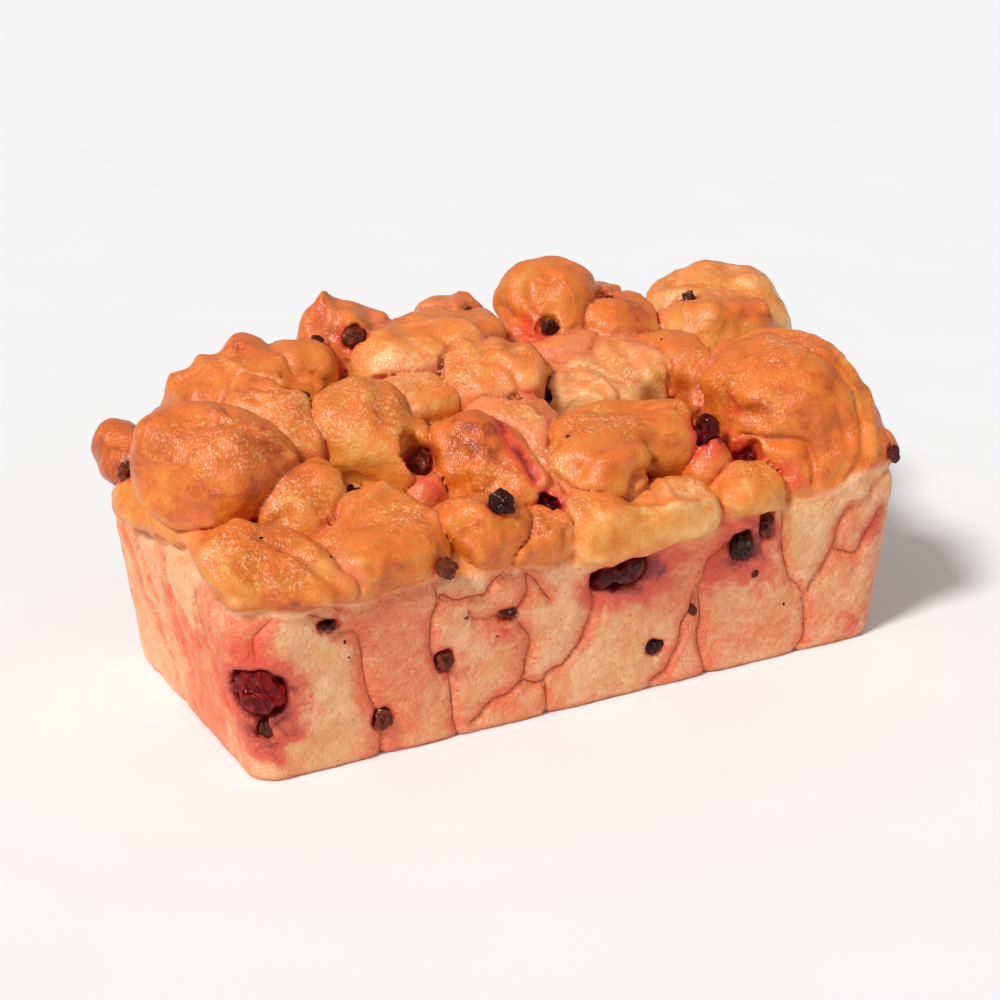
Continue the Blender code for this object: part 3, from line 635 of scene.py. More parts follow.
# %% Folds of the crust
# A fold: its points, its depth (a ridge is negative) and its width
FOLDS = {
    "second ball, pale fold": ([(-95, -6, 93), (-90, -11, 92), (-85, -14, 89), (-79, -14, 85),
        (-76, -15, 81)], -0.9, 1.3),
    "second ball, above the fold": ([(-90, -3, 94), (-91, -9, 92), (-88, -11, 91), (-82, -12, 89)], 0.9, 1),
    "second ball, edge of the brown side": ([(-94, -16, 89), (-93, -20, 84), (-96, -22, 79),
        (-95, -23, 73)], -0.6, 3),
    "second ball, cheek": ([(-114, -2, 80), (-113, -8, 75), (-109, -14, 73), (-104, -19, 70)], 0.5, 2),
    "juice valley": ([(-14, -25, 80), (-14, -30, 77), (-13, -35, 73), (-12, -38, 68),
        (-9, -39, 62)], 0.9, 1.5),
    "end wall, slit": ([(-110, -33, 50), (-110, -34, 46), (-109, -33, 42)], 1.6, 0.8),
    "end wall, second slit": ([(-107, -29, 28), (-106, -29, 24)], 1.2, 0.7),
    "end wall, third slit": ([(-106, -29, 20), (-105, -31, 14)], 1.5, 0.8),
    "corner ball, left ridge": ([(-112, -38, 72), (-113, -41, 66), (-111, -47, 62),
        (-108, -50, 58)], -0.8, 1.6),
    "corner ball, lower edge": ([(-109, -46, 66), (-105, -52, 61), (-95, -54, 61), (-85, -57, 56)], -0.7, 2),
    "corner ball, right edge": ([(-98, -43, 72), (-92, -46, 69), (-88, -50, 66), (-84, -55, 62)], 0.8, 1.2),
    "rim, slit": ([(-114, 12, 65), (-115, 12, 62)], 1.3, 0.7),
    "rim, roll": ([(-115, 3, 71), (-114, -4, 70), (-109, -9, 66), (-105, -14, 65)], -0.7, 1.8),
    "rim, lower crease": ([(-110, 2, 58), (-108, -2, 56), (-107, -11, 55)], 1, 1),
    "small ball, ridge": ([(-88, -24, 68), (-83, -26, 73), (-77, -24, 77), (-69, -25, 77)], -0.5, 2),
    "small ball, tuck": ([(-72, -31, 67), (-81, -41, 67), (-89, -47, 68), (-94, -46, 69)], 0.7, 1.4),
    "front ball, left ridge": ([(-79, -40, 66), (-75, -38, 67), (-65, -33, 70), (-55, -28, 72)], -0.9, 2),
    "front ball, right ridge": ([(-55, -28, 72), (-50, -32, 72), (-46, -36, 67), (-47, -47, 67)], -0.6, 1.8),
    "front ball, hollow": ([(-78, -44, 65), (-68, -41, 68), (-60, -43, 69), (-52, -46, 69)], 0.5, 3),
    "front ball, lower edge": ([(-79, -49, 63), (-71, -54, 64), (-62, -55, 63), (-52, -53, 63)], -0.6, 2),
    "front ball, crack": ([(-74, -55, 58), (-69, -55, 57), (-63, -54, 57)], 0.6, 0.7),
    "front ball, valley": ([(-88, -51, 65), (-84, -55, 62), (-81, -57, 58)], 0.9, 2),
    "third front ball, ridge": ([(-41, -40, 69), (-37, -46, 70), (-34, -51, 67), (-33, -55, 61)], -0.5, 2),
    "knob, under": ([(-29, -24, 77), (-26, -28, 75), (-20, -29, 76), (-16, -28, 77)], 0.7, 1.6),
    "knob, brow": ([(-29, -19, 81), (-26, -24, 80), (-19, -24, 81)], -0.4, 1.4),
    "fourth ball, shoulder": ([(-32, -25, 70), (-28, -29, 73), (-21, -33, 72), (-15, -39, 68)], -0.5, 2.2),
    "strip, left lip": ([(-14, -19, 81), (-12, -26, 78), (-10, -32, 74), (-10, -39, 70)], -0.7, 1.3),
    "strip, fold": ([(-7, -14, 82), (-4, -20, 78), (-4, -25, 74), (-5, -33, 71), (-4, -42, 66)], 0.6, 1.2),
    "strip, right lip": ([(-2, -14, 82), (-1, -19, 79), (-2, -24, 75), (-5, -32, 72)], -0.5, 1.4),
    "bar, small fold": ([(25, -42, 64), (25, -47, 64), (24, -52, 63), (23, -56, 62)], -0.7, 1),
    "bar, small fold's tuck": ([(21, -46, 64), (21, -50, 63), (20, -55, 62)], 0.6, 1),
    "bar, edge": ([(2, -56, 63), (12, -55, 62), (24, -57, 62), (37, -54, 61)], -0.8, 1.8),
    "bar, lower lip": ([(-7, -54, 54), (-2, -57, 51), (5, -58, 51), (16, -60, 54),
        (32, -59, 54)], -0.6, 1.6),
    "bar, corner": ([(43, -47, 61), (42, -50, 58), (42, -51, 53)], 0.7, 1.2),
    "heart, top fold": ([(8, -18, 80), (18, -22, 81), (31, -27, 80), (41, -30, 80)], 0.7, 1),
    "heart, second fold": ([(11, -26, 80), (22, -29, 79), (32, -31, 80), (38, -31, 80)], -0.5, 1.2),
    "heart, notch": ([(28, -35, 66), (17, -47, 69), (14, -48, 66), (12, -48, 64)], 2.2, 1.6),
    "heart, lobe edge": ([(-4, -39, 72), (0, -45, 67), (6, -48, 65), (12, -48, 65)], -0.5, 2),
    "slab, tube": ([(14, 0, 82), (19, 2, 83), (25, 1, 83), (28, -5, 82), (30, -9, 79)], -1.1, 1.6),
    "slab, above the tube": ([(14, 3, 83), (21, 7, 84), (30, 4, 84), (33, -3, 83)], 0.8, 1.1),
    "slab, below the tube": ([(14, -3, 79), (20, -5, 81), (26, -8, 80)], 0.6, 1.2),
    "slab, long fold": ([(48, 12, 87), (48, 2, 86), (48, -6, 82), (52, -6, 75), (52, -6, 73)], 0.9, 1),
    "slab, beside the long fold": ([(45, 10, 88), (45, 1, 86), (45, -6, 81), (49, -7, 74)], -0.6, 1.4),
    "slab, streak": ([(32, -1, 83), (35, -6, 81), (39, -8, 76)], 0.4, 1),
    "end slab, crease": ([(50, -4, 85), (52, -6, 79), (52, -6, 73)], 0.7, 1.2),
    "end slab, brow": ([(51, 2, 86), (54, -4, 84), (58, -7, 86), (63, -7, 86)], -0.5, 1.6),
    "third ball, left crease": ([(-12, 14, 94), (-16, 12, 90), (-17, 12, 85), (-21, 0, 83)], 1, 1.2),
    "third ball, tip": ([(4, 4, 94), (8, 4, 92), (9, -1, 90), (5, -6, 87)], -0.7, 2),
    "third ball, tuck": ([(-3, 0, 92), (-1, -5, 89), (-1, -8, 85), (-3, -7, 83)], 0.8, 1.4),
    "third ball, brow": ([(-11, 9, 94), (-2, 10, 94), (3, 8, 94)], -0.5, 1.6),
    "third ball, valley": ([(-14, 3, 90), (-12, -1, 87), (-11, -3, 83)], -0.5, 2),
    "back slab, cream line": ([(-35, 18, 87), (-29, 14, 88), (-20, 13, 87), (-17, 12, 89)], 0.9, 1),
    "back slab, line's lip": ([(-36, 18, 88), (-29, 14, 89), (-21, 12, 90)], -0.6, 1.4),
    "back slab, fold": ([(-16, 21, 96), (-11, 15, 94), (0, 16, 93)], 0.7, 1.2),
    "back slab, upper fold": ([(-18, 29, 98), (-9, 25, 98), (-2, 17, 97)], -0.5, 1.6),
    "back left, band": ([(-92, 40, 86), (-84, 36, 92), (-73, 35, 96)], 0.7, 1.4),
    "back left, pale fold": ([(-76, 33, 94), (-74, 25, 93), (-69, 20, 92), (-65, 17, 90)], -1, 1.6),
    "back left, below the fold": ([(-78, 21, 92), (-76, 10, 93), (-72, 6, 93)], 0.9, 1.2),
    "second back ball, tuck": ([(-63, 20, 92), (-59, 19, 90), (-55, 18, 88)], 1.4, 1.2),
    "third long ball, brow": ([(-78, 13, 94), (-75, 8, 93), (-70, 3, 91), (-65, 2, 90)], -0.4, 1.6),
    "third long ball, tuck": ([(-80, 13, 93), (-79, 9, 91), (-77, 5, 91)], 0.7, 1.2),
    "wedge, hollow": ([(-40, 40, 106), (-43, 39, 102), (-46, 40, 98)], 0.8, 2),
    "wedge, lip": ([(-39, 38, 105), (-41, 36, 102), (-43, 36, 97)], -0.4, 1.4),
    "tall ball, dent": ([(23, 33, 98), (23, 30, 96), (24, 27, 94)], 0.5, 1.5),
    "tall ball, foot": ([(19, 42, 94), (20, 31, 92), (24, 26, 91)], 0.8, 1.4),
    "last back ball, top fold": ([(73, 21, 91), (84, 21, 93), (97, 20, 91), (98, 12, 90)], -0.5, 1.4),
    "last back ball, hollow": ([(88, 10, 88), (95, 12, 90), (97, 10, 88)], 0.7, 2),
    "end ball, ridge": ([(77, 39, 93), (87, 33, 94), (100, 26, 91)], 0.4, 2),
    "dome, top band": ([(63, -11, 86), (68, -8, 87), (79, -8, 89), (86, -14, 92), (90, -23, 92),
        (96, -30, 88), (98, -37, 83)], -0.9, 2),
    "dome, under the band": ([(62, -12, 85), (67, -11, 88), (77, -10, 89), (83, -20, 92), (86, -31, 92),
        (91, -36, 87), (93, -43, 80), (92, -50, 72), (89, -53, 64), (85, -54, 58)], 0.9, 1.2),
    "dome, side band": ([(101, -39, 78), (96, -49, 71), (93, -54, 64), (89, -55, 57)], -0.7, 1.6),
    "dome, side fold": ([(85, -47, 79), (86, -50, 70), (84, -53, 63), (81, -53, 58)], 0.6, 1.2),
    "dome, lower fold": ([(57, -36, 70), (62, -41, 70), (69, -46, 70), (74, -48, 68), (75, -50, 63),
        (74, -52, 58)], 1.5, 1.3),
    "dome, lower lip": ([(58, -31, 65), (61, -41, 67), (70, -47, 66)], -0.6, 1.6),
    "dome, red spot": ([(59, -30, 79), (59, -31, 79)], 0.8, 1.2),
    "dome, stain": ([(64, -47, 62), (65, -50, 59), (66, -51, 54)], 0.8, 1.2),
}
FOLD_GAIN = 1.4
SEAM_DEPTH = 1.0
SEAM_WIDTH = 0.9
PILLOW_RISE = 0.55
PILLOW_WIDTH = 4.0
# The walls' relief fades out upward from here, over this height
WALL_FADE_TOP = 54
WALL_FADE = 6
# Crests wander over the top where a slow noise crosses zero
CREST_RISE = 0.28
CREST_WIDTH = 0.10


def bell(values, width):
    """1 at zero, falling to nothing over a few widths."""
    return np.exp(-(values / width) ** 2)


def fold_relief(points):
    """How far the folds move each point, how deep in a tuck it lies, and how high on a ridge."""
    total = np.zeros(len(points))
    tuck = np.zeros(len(points))
    ridge = np.zeros(len(points))
    for knots, depth, width in FOLDS.values():
        share = bell(nearby_distance(points, knots), width)
        total -= FOLD_GAIN * depth * share
        tuck = np.maximum(tuck, depth * share ** 2)
        ridge = np.maximum(ridge, -depth * share)
    return total, tuck, ridge


def lumps(points, size, seed, octaves=2):
    """Fractal noise at each point, about -1 to 1, with lumps of the given size."""
    shift = Vector((seed * 7.3, seed * 3.1, seed * 5.7))
    values = [noise.fractal(Vector(point) / size + shift, 0.8, 2.0, octaves) for point in points]
    return np.array(values)


def uneven(points, *layers):
    """Lumps added up: the height, the size and the seed of each layer."""
    return sum(height * lumps(points, size, seed) for height, size, seed in layers)


def kept_inside(points, margin=1.2, room=0.15):
    """Bends whatever comes near the box of the solids back inside it."""
    low, high = (np.array(corner) / MM for corner in cad_box)
    over = points - (high - margin)
    points = np.where(over > 0, high - margin + (margin - room) * (1 - np.exp(-over / margin)), points)
    over = low + margin - points
    bent = low + margin - (margin - room) * (1 - np.exp(-over / margin))
    bent[:, 2] = np.maximum(points[:, 2], 0)
    return np.where(over > 0, bent, points)


wall = np.clip((WALL_FADE_TOP - points[:, 2]) / WALL_FADE, 0, 1) * ~on_top
crest = bell(lumps(points, 17, 4), CREST_WIDTH) * on_top
folded, tuck, ridge = fold_relief(points)
seam_here = bell(seam, SEAM_WIDTH) * wall
pillow = (1 - bell(seam, PILLOW_WIDTH)) * wall
move = folded - SEAM_DEPTH * seam_here + PILLOW_RISE * pillow
rough = uneven(points, (0.3, 7, 1), (0.12, 2.6, 2)) + on_top * uneven(points, (0.95, 15, 2))
move += rough + CREST_RISE * crest
points = kept_inside(points + normals * move[:, None])
normals = normals_of(points, faces)
print("relief from", round(float(move.min()), 2), "to", round(float(move.max()), 2), "mm")

# %% [markdown]
# ## Marks of baking, of juice and of painted light
# The oven browned what stuck out and left the creases pale, the tin kept the sides pale, and cherry juice
# soaked into the dough around the fruit. Each of these is one number per point, so that the finish can mix
# its colours by them. Spots that don't follow any rule are listed one by one.

# %% Tone of each piece
# How brown a piece is and how pink, from 0 to 1
TONES = {
    "front_1": (0.55, 0.1), "front_2": (0.45, 0.2), "front_3": (0.6, 0.1), "front_4": (0.5, 0.1),
    "front_5": (0.27, 0.05), "front_6": (0.3, 0.2), "front_7": (0.6, 0.1), "second_1": (0.62, 0.05),
    "left_ear": (0.85, 0.2), "left_rim": (0.4, 0.15), "second_2": (0.49, 0.25), "second_3": (0.42, 0.05),
    "second_4": (0.58, 0.12), "second_5": (0.3, 0.7), "second_6": (0.46, 0.0), "second_7": (0.5, 0.1),
    "strip": (0.18, 0.6), "third_1": (0.4, 0.35), "third_2": (0.3, 0.1), "third_3": (0.35, 0.4),
    "third_4": (0.08, 0.3), "third_5": (0.5, 0.1), "third_6": (0.35, 0.6), "back_1": (0.5, 0.1),
    "back_2": (0.45, 0.1), "back_3": (0.5, 0.4), "back_4": (0.35, 0.4), "back_5": (0.5, 0.3),
    "back_6": (0.52, 0.2), "back_7": (0.5, 0.3), "end_top": (0.15, 0.05), "back_9": (0.4, 0.4),
    "right_1": (0.45, 0.3), "right_2": (0.45, 0.2), "right_3": (0.4, 0.2), "rim_1": (0.5, 0.1),
    "rim_2": (0.4, 0.3), "rim_3": (0.5, 0.1), "rim_4": (0.35, 0.4), "rim_5": (0.5, 0.1), "rim_6": (0.4, 0.2),
}
SIDE_TONE = (0.35, 0.4)
# Middle, radius and how much browner (or paler, when negative). The spots low on the front pieces, at (-92,
# -54, 62) and (-62, -55, 62), darken their lower faces as painted shade
BROWN_AND_SHADE_SPOTS = [
    (-23, -24, 82, 6, 0.9), (-91, 33, 86, 7, 0.2), (4, -46, 73, 9, 0.12), (34, -37, 72, 8, 0.12),
    (-92, -54, 62, 11, 0.12), (-62, -55, 62, 11, 0.15), (5, -58, 59, 9, 0.1), (30, -27, 81, 6, 0.25),
    (-29, 14, 89, 7, -0.25), (81, -53, 61, 8, -0.12), (-56, -13, 82, 6, -0.15), (-88, -22, 80, 6, -0.12),
    (97, -30, 87, 4, -0.3), (94, -44, 77, 4, -0.25), (-49, -14, 84, 5, 0.12), (-104, -10, 84, 7, 0.12),
    (-70, 34, 98, 5, 0.5), (95, 14, 90, 7, 0.55), (-20, -27, 78, 6, 0.35), (13, 6, 86, 6, 0.5),
    (-77, 12, 92, 5, 0.4), (-46, 38, 100, 7, 0.4), (57, -9, 76, 9, 0.4), (-49, -55, 66, 7, 0.25),
    (83, -51, 64, 10, 0.15), (-89, -18, 74, 12, 0.25), (-25, -16, 82, 5, 0.3), (58, 23, 92, 8, 0.25),
    (-20, -54, 58, 8, 0.15), (-69, 10, 94, 6, 0.1), (-114, 3, 84, 8, 0.1), (-30, 10, 91, 9, -0.35),
    (-20, 14, 91, 7, -0.2), (30, -53, 66, 9, -0.25), (64, 18, 84, 8, -0.35), (31, 1, 86, 12, -0.1),
    (-84, -50, 64, 7, -0.3), (-84, -32, 62, 7, -0.25), (-79, 25, 96, 8, -0.1),
]
# Where the glazed skin dried shinier and more wrinkled, which also places the pale painted glints: middle,
# radius and strength
GLAZE_AND_GLINT_SPOTS = [
    (-97, -14, 92, 10, 0.9), (-88, -16, 88, 7, 0.9), (-107, -6, 88, 7, 0.7), (-100, -44, 70, 8, 1.0),
    (-96, -51, 66, 7, 0.9), (-76, -26, 75, 6, 1.0), (-86, -28, 70, 6, 0.8), (-78, -44, 65, 5, 0.7),
    (-56, -42, 70, 6, 1.0), (-53, -7, 92, 9, 1.0), (-44, -10, 86, 6, 0.6), (-72, 0, 90, 8, 0.9),
    (-66, -8, 84, 6, 0.8), (-29, -22, 79, 5, 1.0), (-24, -32, 72, 8, 0.7), (-36, -44, 70, 6, 0.5),
    (-17, -50, 63, 6, 0.9), (-5, -48, 64, 5, 0.8), (-6, -32, 71, 7, 0.8), (10, -26, 81, 7, 0.8),
    (20, -30, 80, 6, 0.7), (36, -48, 64, 6, 0.9), (55, -46, 64, 5, 0.8), (-16, 4, 92, 7, 0.8),
    (5, 5, 94, 4, 1.0), (34, -2, 84, 7, 0.8), (-27, 8, 86, 6, 0.7), (58, -25, 84, 7, 1.0),
    (66, -38, 76, 6, 0.9), (84, -26, 92, 7, 1.0), (74, -30, 90, 6, 0.5), (-4, -14, 82, 5, 0.8),
    (60, -8, 86, 5, 0.6), (-110, 30, 76, 6, 0.4), (-108, 4, 67, 6, 0.6), (42, -30, 78, 4, 0.4),
    (-74, 33, 94, 6, 0.3), (-32, 24, 92, 6, 0.4), (80, 0, 84, 6, 0.4), (-30, 46, 84, 8, 0.7),
    (30, 50, 84, 8, 0.7), (70, 44, 84, 7, 0.6), (-60, 48, 80, 7, 0.6),
]
# Middle, radius and strength of the juice stains
JUICE_SPOTS = [
    (-101, -47, 29, 13, 0.95), (-100, -46, 15, 9, 0.9), (-107, -38, 26, 8, 0.5), (-103, -45, 41, 6, 0.5),
    (-108, -20, 34, 6, 0.45), (-109, -26, 41, 4, 0.4), (8, -50, 42, 11, 1.0), (18, -50, 42, 7, 1.0),
    (55, -50, 44, 7, 1.0), (47, -52, 44, 6, 0.7), (-2, -50, 36, 5, 0.5), (20, -51, 44, 9, 0.6),
    (50, -50, 41, 10, 0.7), (58, -51, 31, 8, 0.35), (41, -51, 34, 7, 0.45), (59, -30, 79, 5, 0.5),
    (68, -50, 60, 6, 0.5), (60, -33, 62, 8, 0.9), (47, -36, 64, 8, 0.9), (40, -54, 57, 5, 0.5),
    (-39, -25, 67, 6, 0.6), (-41, -17, 76, 5, 0.5), (-109, -19, 66, 8, 0.4), (-87, -19, 63, 7, 0.55),
    (-71, -34, 69, 8, 0.3), (-61, -19, 71, 5, 0.6), (3, -4, 80, 7, 0.4), (2, -15, 79, 6, 0.45),
    (21, 27, 91, 7, 0.6), (-80, 17, 88, 6, 0.35), (98, -51, 39, 8, 0.6), (93, -47, 6, 7, 0.5),
    (-46, -48, 24, 7, 0.5), (-30, -50, 31, 6, 0.45), (-105, 1, 24, 9, 0.3), (68, 50, 33, 12, 0.75),
    (22, 50, 18, 7, 0.3), (108, 4, 32, 6, 0.3),
]
# Middle, radius and how much pinker (or creamier, when negative) the sides are
BLUSH_SPOTS = [
    (-110, -10, 48, 9, -0.9), (-109, -16, 39, 4, -1.0), (-108, -6, 31, 8, 1.0), (-108, 1, 40, 4, 0.9),
    (-108, -28, 36, 7, 0.5), (-107, 12, 44, 9, -0.3), (-106, -20, 14, 10, 0.3), (-105, 10, 18, 8, 0.1),
    (-86, -51, 32, 9, -0.3), (-97, -50, 44, 6, 0.2), (-83, -51, 14, 9, 0.1), (-12, -53, 47, 8, -0.35),
    (-22, -51, 42, 4, 0.5), (18, -51, 38, 9, 0.5), (35, -51, 43, 8, 0.4), (10, -50, 12, 9, -0.2),
    (74, -52, 45, 7, -0.3), (88, -52, 40, 7, 0.4), (60, -50, 10, 8, 0.2), (-35, -50, 22, 6, -0.2),
]
# The juice that ran down a valley from the knot to the front: its way, strength and width
JUICE_LINE = [(-15, -19, 82), *FOLDS["juice valley"][0], (-9, -45, 58)]
JUICE_LINE_STRENGTH = 0.9
JUICE_LINE_WIDTH = 2.8
# How dark the juice is right beside a fruit, and how far it spread in millimetres
HALOS = {"cherry": (1.0, 3.0), "raisin": (0.62, 1.3)}
HALO_FALL = 1.4


def spots(points, table, seed):
    """Every spot's strength at each point, its rim made uneven."""
    moved = wandered(points, (8, seed, 1.2))
    total = np.zeros(len(points))
    for x, y, z, radius, strength in table:
        away = ((moved - (x, y, z)) ** 2).sum(1) / radius ** 2
        total = total + strength * np.exp(-away) * (1 - np.abs(total) * (strength > 0) * (total > 0))
    return total


def smooth_step(value, low, high):
    share = np.clip((value - low) / (high - low), 0, 1)
    return share * share * (3 - 2 * share)


def halos(points):
    total = np.zeros(len(points))
    points = wandered(points, (5, 24, 0.7))
    for name in fruit_names:
        middle, half = fruit_box(name)
        strength, spread = HALOS[kind_of(name)]
        here = np.flatnonzero((np.abs(points - middle) < half + 3 * spread).all(1))
        away = np.maximum(lobe_distance(points[here], middle, half), 0)
        total[here] = np.maximum(total[here], strength * np.exp(-(away / spread) ** HALO_FALL))
    return total


tone = np.array([TONES[name] for name in TOP_PIECES] + [SIDE_TONE])[owner]
print("brown from", tone[:, 0].min(), "to", tone[:, 0].max())

# %% Numbers for the finish
# Height where the crust ends on the long sides, along X, and on the two ends
CRUST_X = [-112, -79, -48, -31, -13, -2, 13, 26, 41, 60, 75, 88, 100]
CRUST_Z = [55, 52, 53, 52, 50, 47, 46, 46, 48, 50, 53, 60, 61]
END_CRUST_Z = 56.0
END_X = 97
END_Y = -44
# Spans over which the crust's lower edge, the tin's mouth and the foot fade into the pale crumb
CRUST_EDGE = (-1.0, 1.5)
TIN_EDGE = (-14, -9)
FOOT = (4, 8)
# How the relief browns, pales or reddens the dough, and how much its creases and tucks are darkened, partly
# as a dark crease colour and partly as painted shade
CREST_BROWN = 0.12
CREASE_FADE = 0.1
RIDGE_FADE = 0.22
RIDGE_BLUSH = 0.35
CREASE_LINE_AND_SHADE = 0.6
TUCK_LINE_AND_SHADE = 0.55
CREASE_PALE = 2.2
LINE_WIDTH = 1.5
SEAM_MARK_WIDTH = 1.2
BESIDE_SEAM = 2.6
SIDE_SPAN = 4


def crumb_share(points):
    """1 on the pale sides and 0 on the crust."""
    line = np.interp(points[:, 0], CRUST_X, CRUST_Z)
    end = (np.abs(points[:, 0]) > END_X) & (points[:, 1] > END_Y)
    line = np.where(end, END_CRUST_Z, line) + uneven(points, (1.2, 9, 5))
    outward = np.maximum(*outside_tin(points)[:2])
    share = smooth_step(line - points[:, 2], *CRUST_EDGE) * smooth_step(outward, *TIN_EDGE)
    return np.maximum(share, 1 - smooth_step(points[:, 2], *FOOT))


crumb = crumb_share(points)
crease = bell(next_gap, CREASE_PALE)
brown = tone[:, 0] + spots(points, BROWN_AND_SHADE_SPOTS, 21) + uneven(points, (0.12, 11, 6), (0.08, 4, 7))
brown += CREST_BROWN * crest - CREASE_FADE * crease - RIDGE_FADE * ridge
juice_line = JUICE_LINE_STRENGTH * bell(nearby_distance(points, JUICE_LINE), JUICE_LINE_WIDTH)
juice = np.maximum.reduce([spots(points, JUICE_SPOTS, 22), juice_line, halos(points)])
blush = np.where(on_top, tone[:, 1], pinkness + spots(points, BLUSH_SPOTS, 24))
blush += uneven(points, (0.25, 13, 8)) + RIDGE_BLUSH * ridge
marks = {
    "crumb": crumb,
    "height": np.clip(points[:, 2] / FOOT[0], 0, 1),
    "brown": np.clip(brown, 0, 1),
    "up": np.clip(normals[:, 2], 0, 1),
    "crease": crease,
    "seam": np.maximum(bell(seam, SEAM_MARK_WIDTH), tuck) * wall,
    "side": np.clip(seam_side / SIDE_SPAN + 0.5, 0, 1),
    "beside": bell(seam, BESIDE_SEAM) * wall,
    # Darker lines in the creases between pieces and in the tucks: partly a dark crease colour, partly painted
    # shade
    "line": np.clip(bell(next_gap, LINE_WIDTH) * CREASE_LINE_AND_SHADE + tuck * TUCK_LINE_AND_SHADE, 0, 1) * (1 - crumb),
    # Where the glazed skin is shinier and more wrinkled, and where the pale painted glints go
    "glaze": np.clip(spots(points, GLAZE_AND_GLINT_SPOTS, 23) + uneven(points, (0.25, 5, 9)), 0, 1) * on_top,
    "juice": np.clip(juice, 0, 1),
    "blush": np.clip(blush, 0, 1),
}
print({name: round(float(values.mean()), 3) for name, values in marks.items()})

# %% [markdown]
# ## Three meshes with one skin
# The loaf goes into three objects, the browned top, the sides with the rim, and the underside, so that each
# stays light. They share their borders and the normals of the whole surface, so no line shows between them.

# %% Split the loaf
ON_RIM = ("rim", "right", "left_rim")
UNDERSIDE_TOP = 0.5


def part_of_loaf(name, chosen):
    used, corners = np.unique(faces[chosen], return_inverse=True)
    mesh = mesh_from(name, points[used], corners.reshape(-1, 4))
    for mark, values in marks.items():
        layer = mesh.attributes.new(mark, "FLOAT", "POINT")
        layer.data.foreach_set("value", values[used].astype(np.float32))
    mesh.normals_split_custom_set_from_vertices(normals[used].tolist())
    thing = bpy.data.objects.new(name, mesh)
    bpy.context.scene.collection.objects.link(thing)
    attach(thing, "root")
    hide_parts("loaf")
    print(name, "triangles", 2 * len(mesh.polygons))
    return thing


rim_pieces = [name.startswith(ON_RIM) for name in TOP_PIECES] + [True]
on_rim = np.array(rim_pieces)[owner[faces]].all(1)
below = (points[faces][:, :, 2] < UNDERSIDE_TOP).all(1)
loaf_parts = [part_of_loaf("baked_top", ~on_rim & ~below), part_of_loaf("tin_sides", on_rim & ~below),
              part_of_loaf("underside", below)]
skin_tree = BVHTree.FromPolygons((points * MM).tolist(), faces.tolist())

# %% [markdown]
# ## Fruit
# Baked raisins are shrunken and sharply wrinkled, and the cherries are plump with soft folds. The solids give
# their place and size. Subdividing and then pressing folds into the skin keeps that form.

# %% Wrinkle the fruit
# Size of the folds in millimetres, their height, and the height of the fine ones
WRINKLES = {"cherry": (5.6, 2.0, 0.25), "raisin": (3.6, 1.4, 0.2)}
FRUIT_ROUNDS = {"cherry": 5, "raisin": 4}
# Blender shifts its vector noise by the clock, unless a seed is set
FOLD_SEED = 1796067420


def object_from(bm, name):
    """Puts a bmesh in the scene as a smooth object."""
    mesh = bpy.data.meshes.new(name)
    bm.to_mesh(mesh)
    bm.free()
    mesh.shade_smooth()
    thing = bpy.data.objects.new(name, mesh)
    bpy.context.scene.collection.objects.link(thing)
    return thing


def fruit_reach(node, middle, ways):
    """How far the solid reaches from its middle in each direction."""
    tree = BVHTree.FromPolygons([vert.co[:] for vert in node.data.vertices],
                                [face.vertices[:] for face in node.data.polygons])
    return np.array([tree.ray_cast(Vector(middle), way)[3] or 0.0 for way in ways]) / MM


def fold_depth(way, size, depth, fine, seed, radius):
    """Sharp ridges between soft valleys, in millimetres."""
    place = Vector(way) * radius / size + Vector((seed * 3.7, seed * 1.9, seed * 2.3))
    bend = noise.noise_vector(place * 0.6) * 0.5
    ridge = 1 - min(abs(noise.noise(place + bend)) * 2.6, 1)
    small = 1 - min(abs(noise.noise((place + bend) * 2.7)) * 2.2, 1)
    return depth * (ridge - 0.7) + fine * (small - 0.6)


def dress_fruit(name, number):
    kind = kind_of(name)
    middle, half = fruit_box(name)
    bm = bmesh.new()
    verts = bmesh.ops.create_icosphere(bm, subdivisions=FRUIT_ROUNDS[kind], radius=1.0)["verts"]
    ways = [vert.co.normalized() for vert in verts]
    reach = fruit_reach(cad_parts[name], middle * MM, ways)
    for vert, way, length in zip(verts, ways, reach):
        length += fold_depth(way, *WRINKLES[kind], number, half.mean())
        vert.co = Vector(middle * MM) + way * (length * MM)
    fruit = object_from(bm, "skin_" + name)
    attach(fruit, "root")
    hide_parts(name)
    return fruit


noise.seed_set(FOLD_SEED)
fruits = {name: dress_fruit(name, number) for number, name in enumerate(fruit_names)}
print("fruit", len(fruits), "triangles", sum(len(fruit.data.polygons) for fruit in fruits.values()))

# %% [markdown]
# ## Small bits
# A few scraps of raisin skin lie in the creases and on the sides. They are too small to have solids.

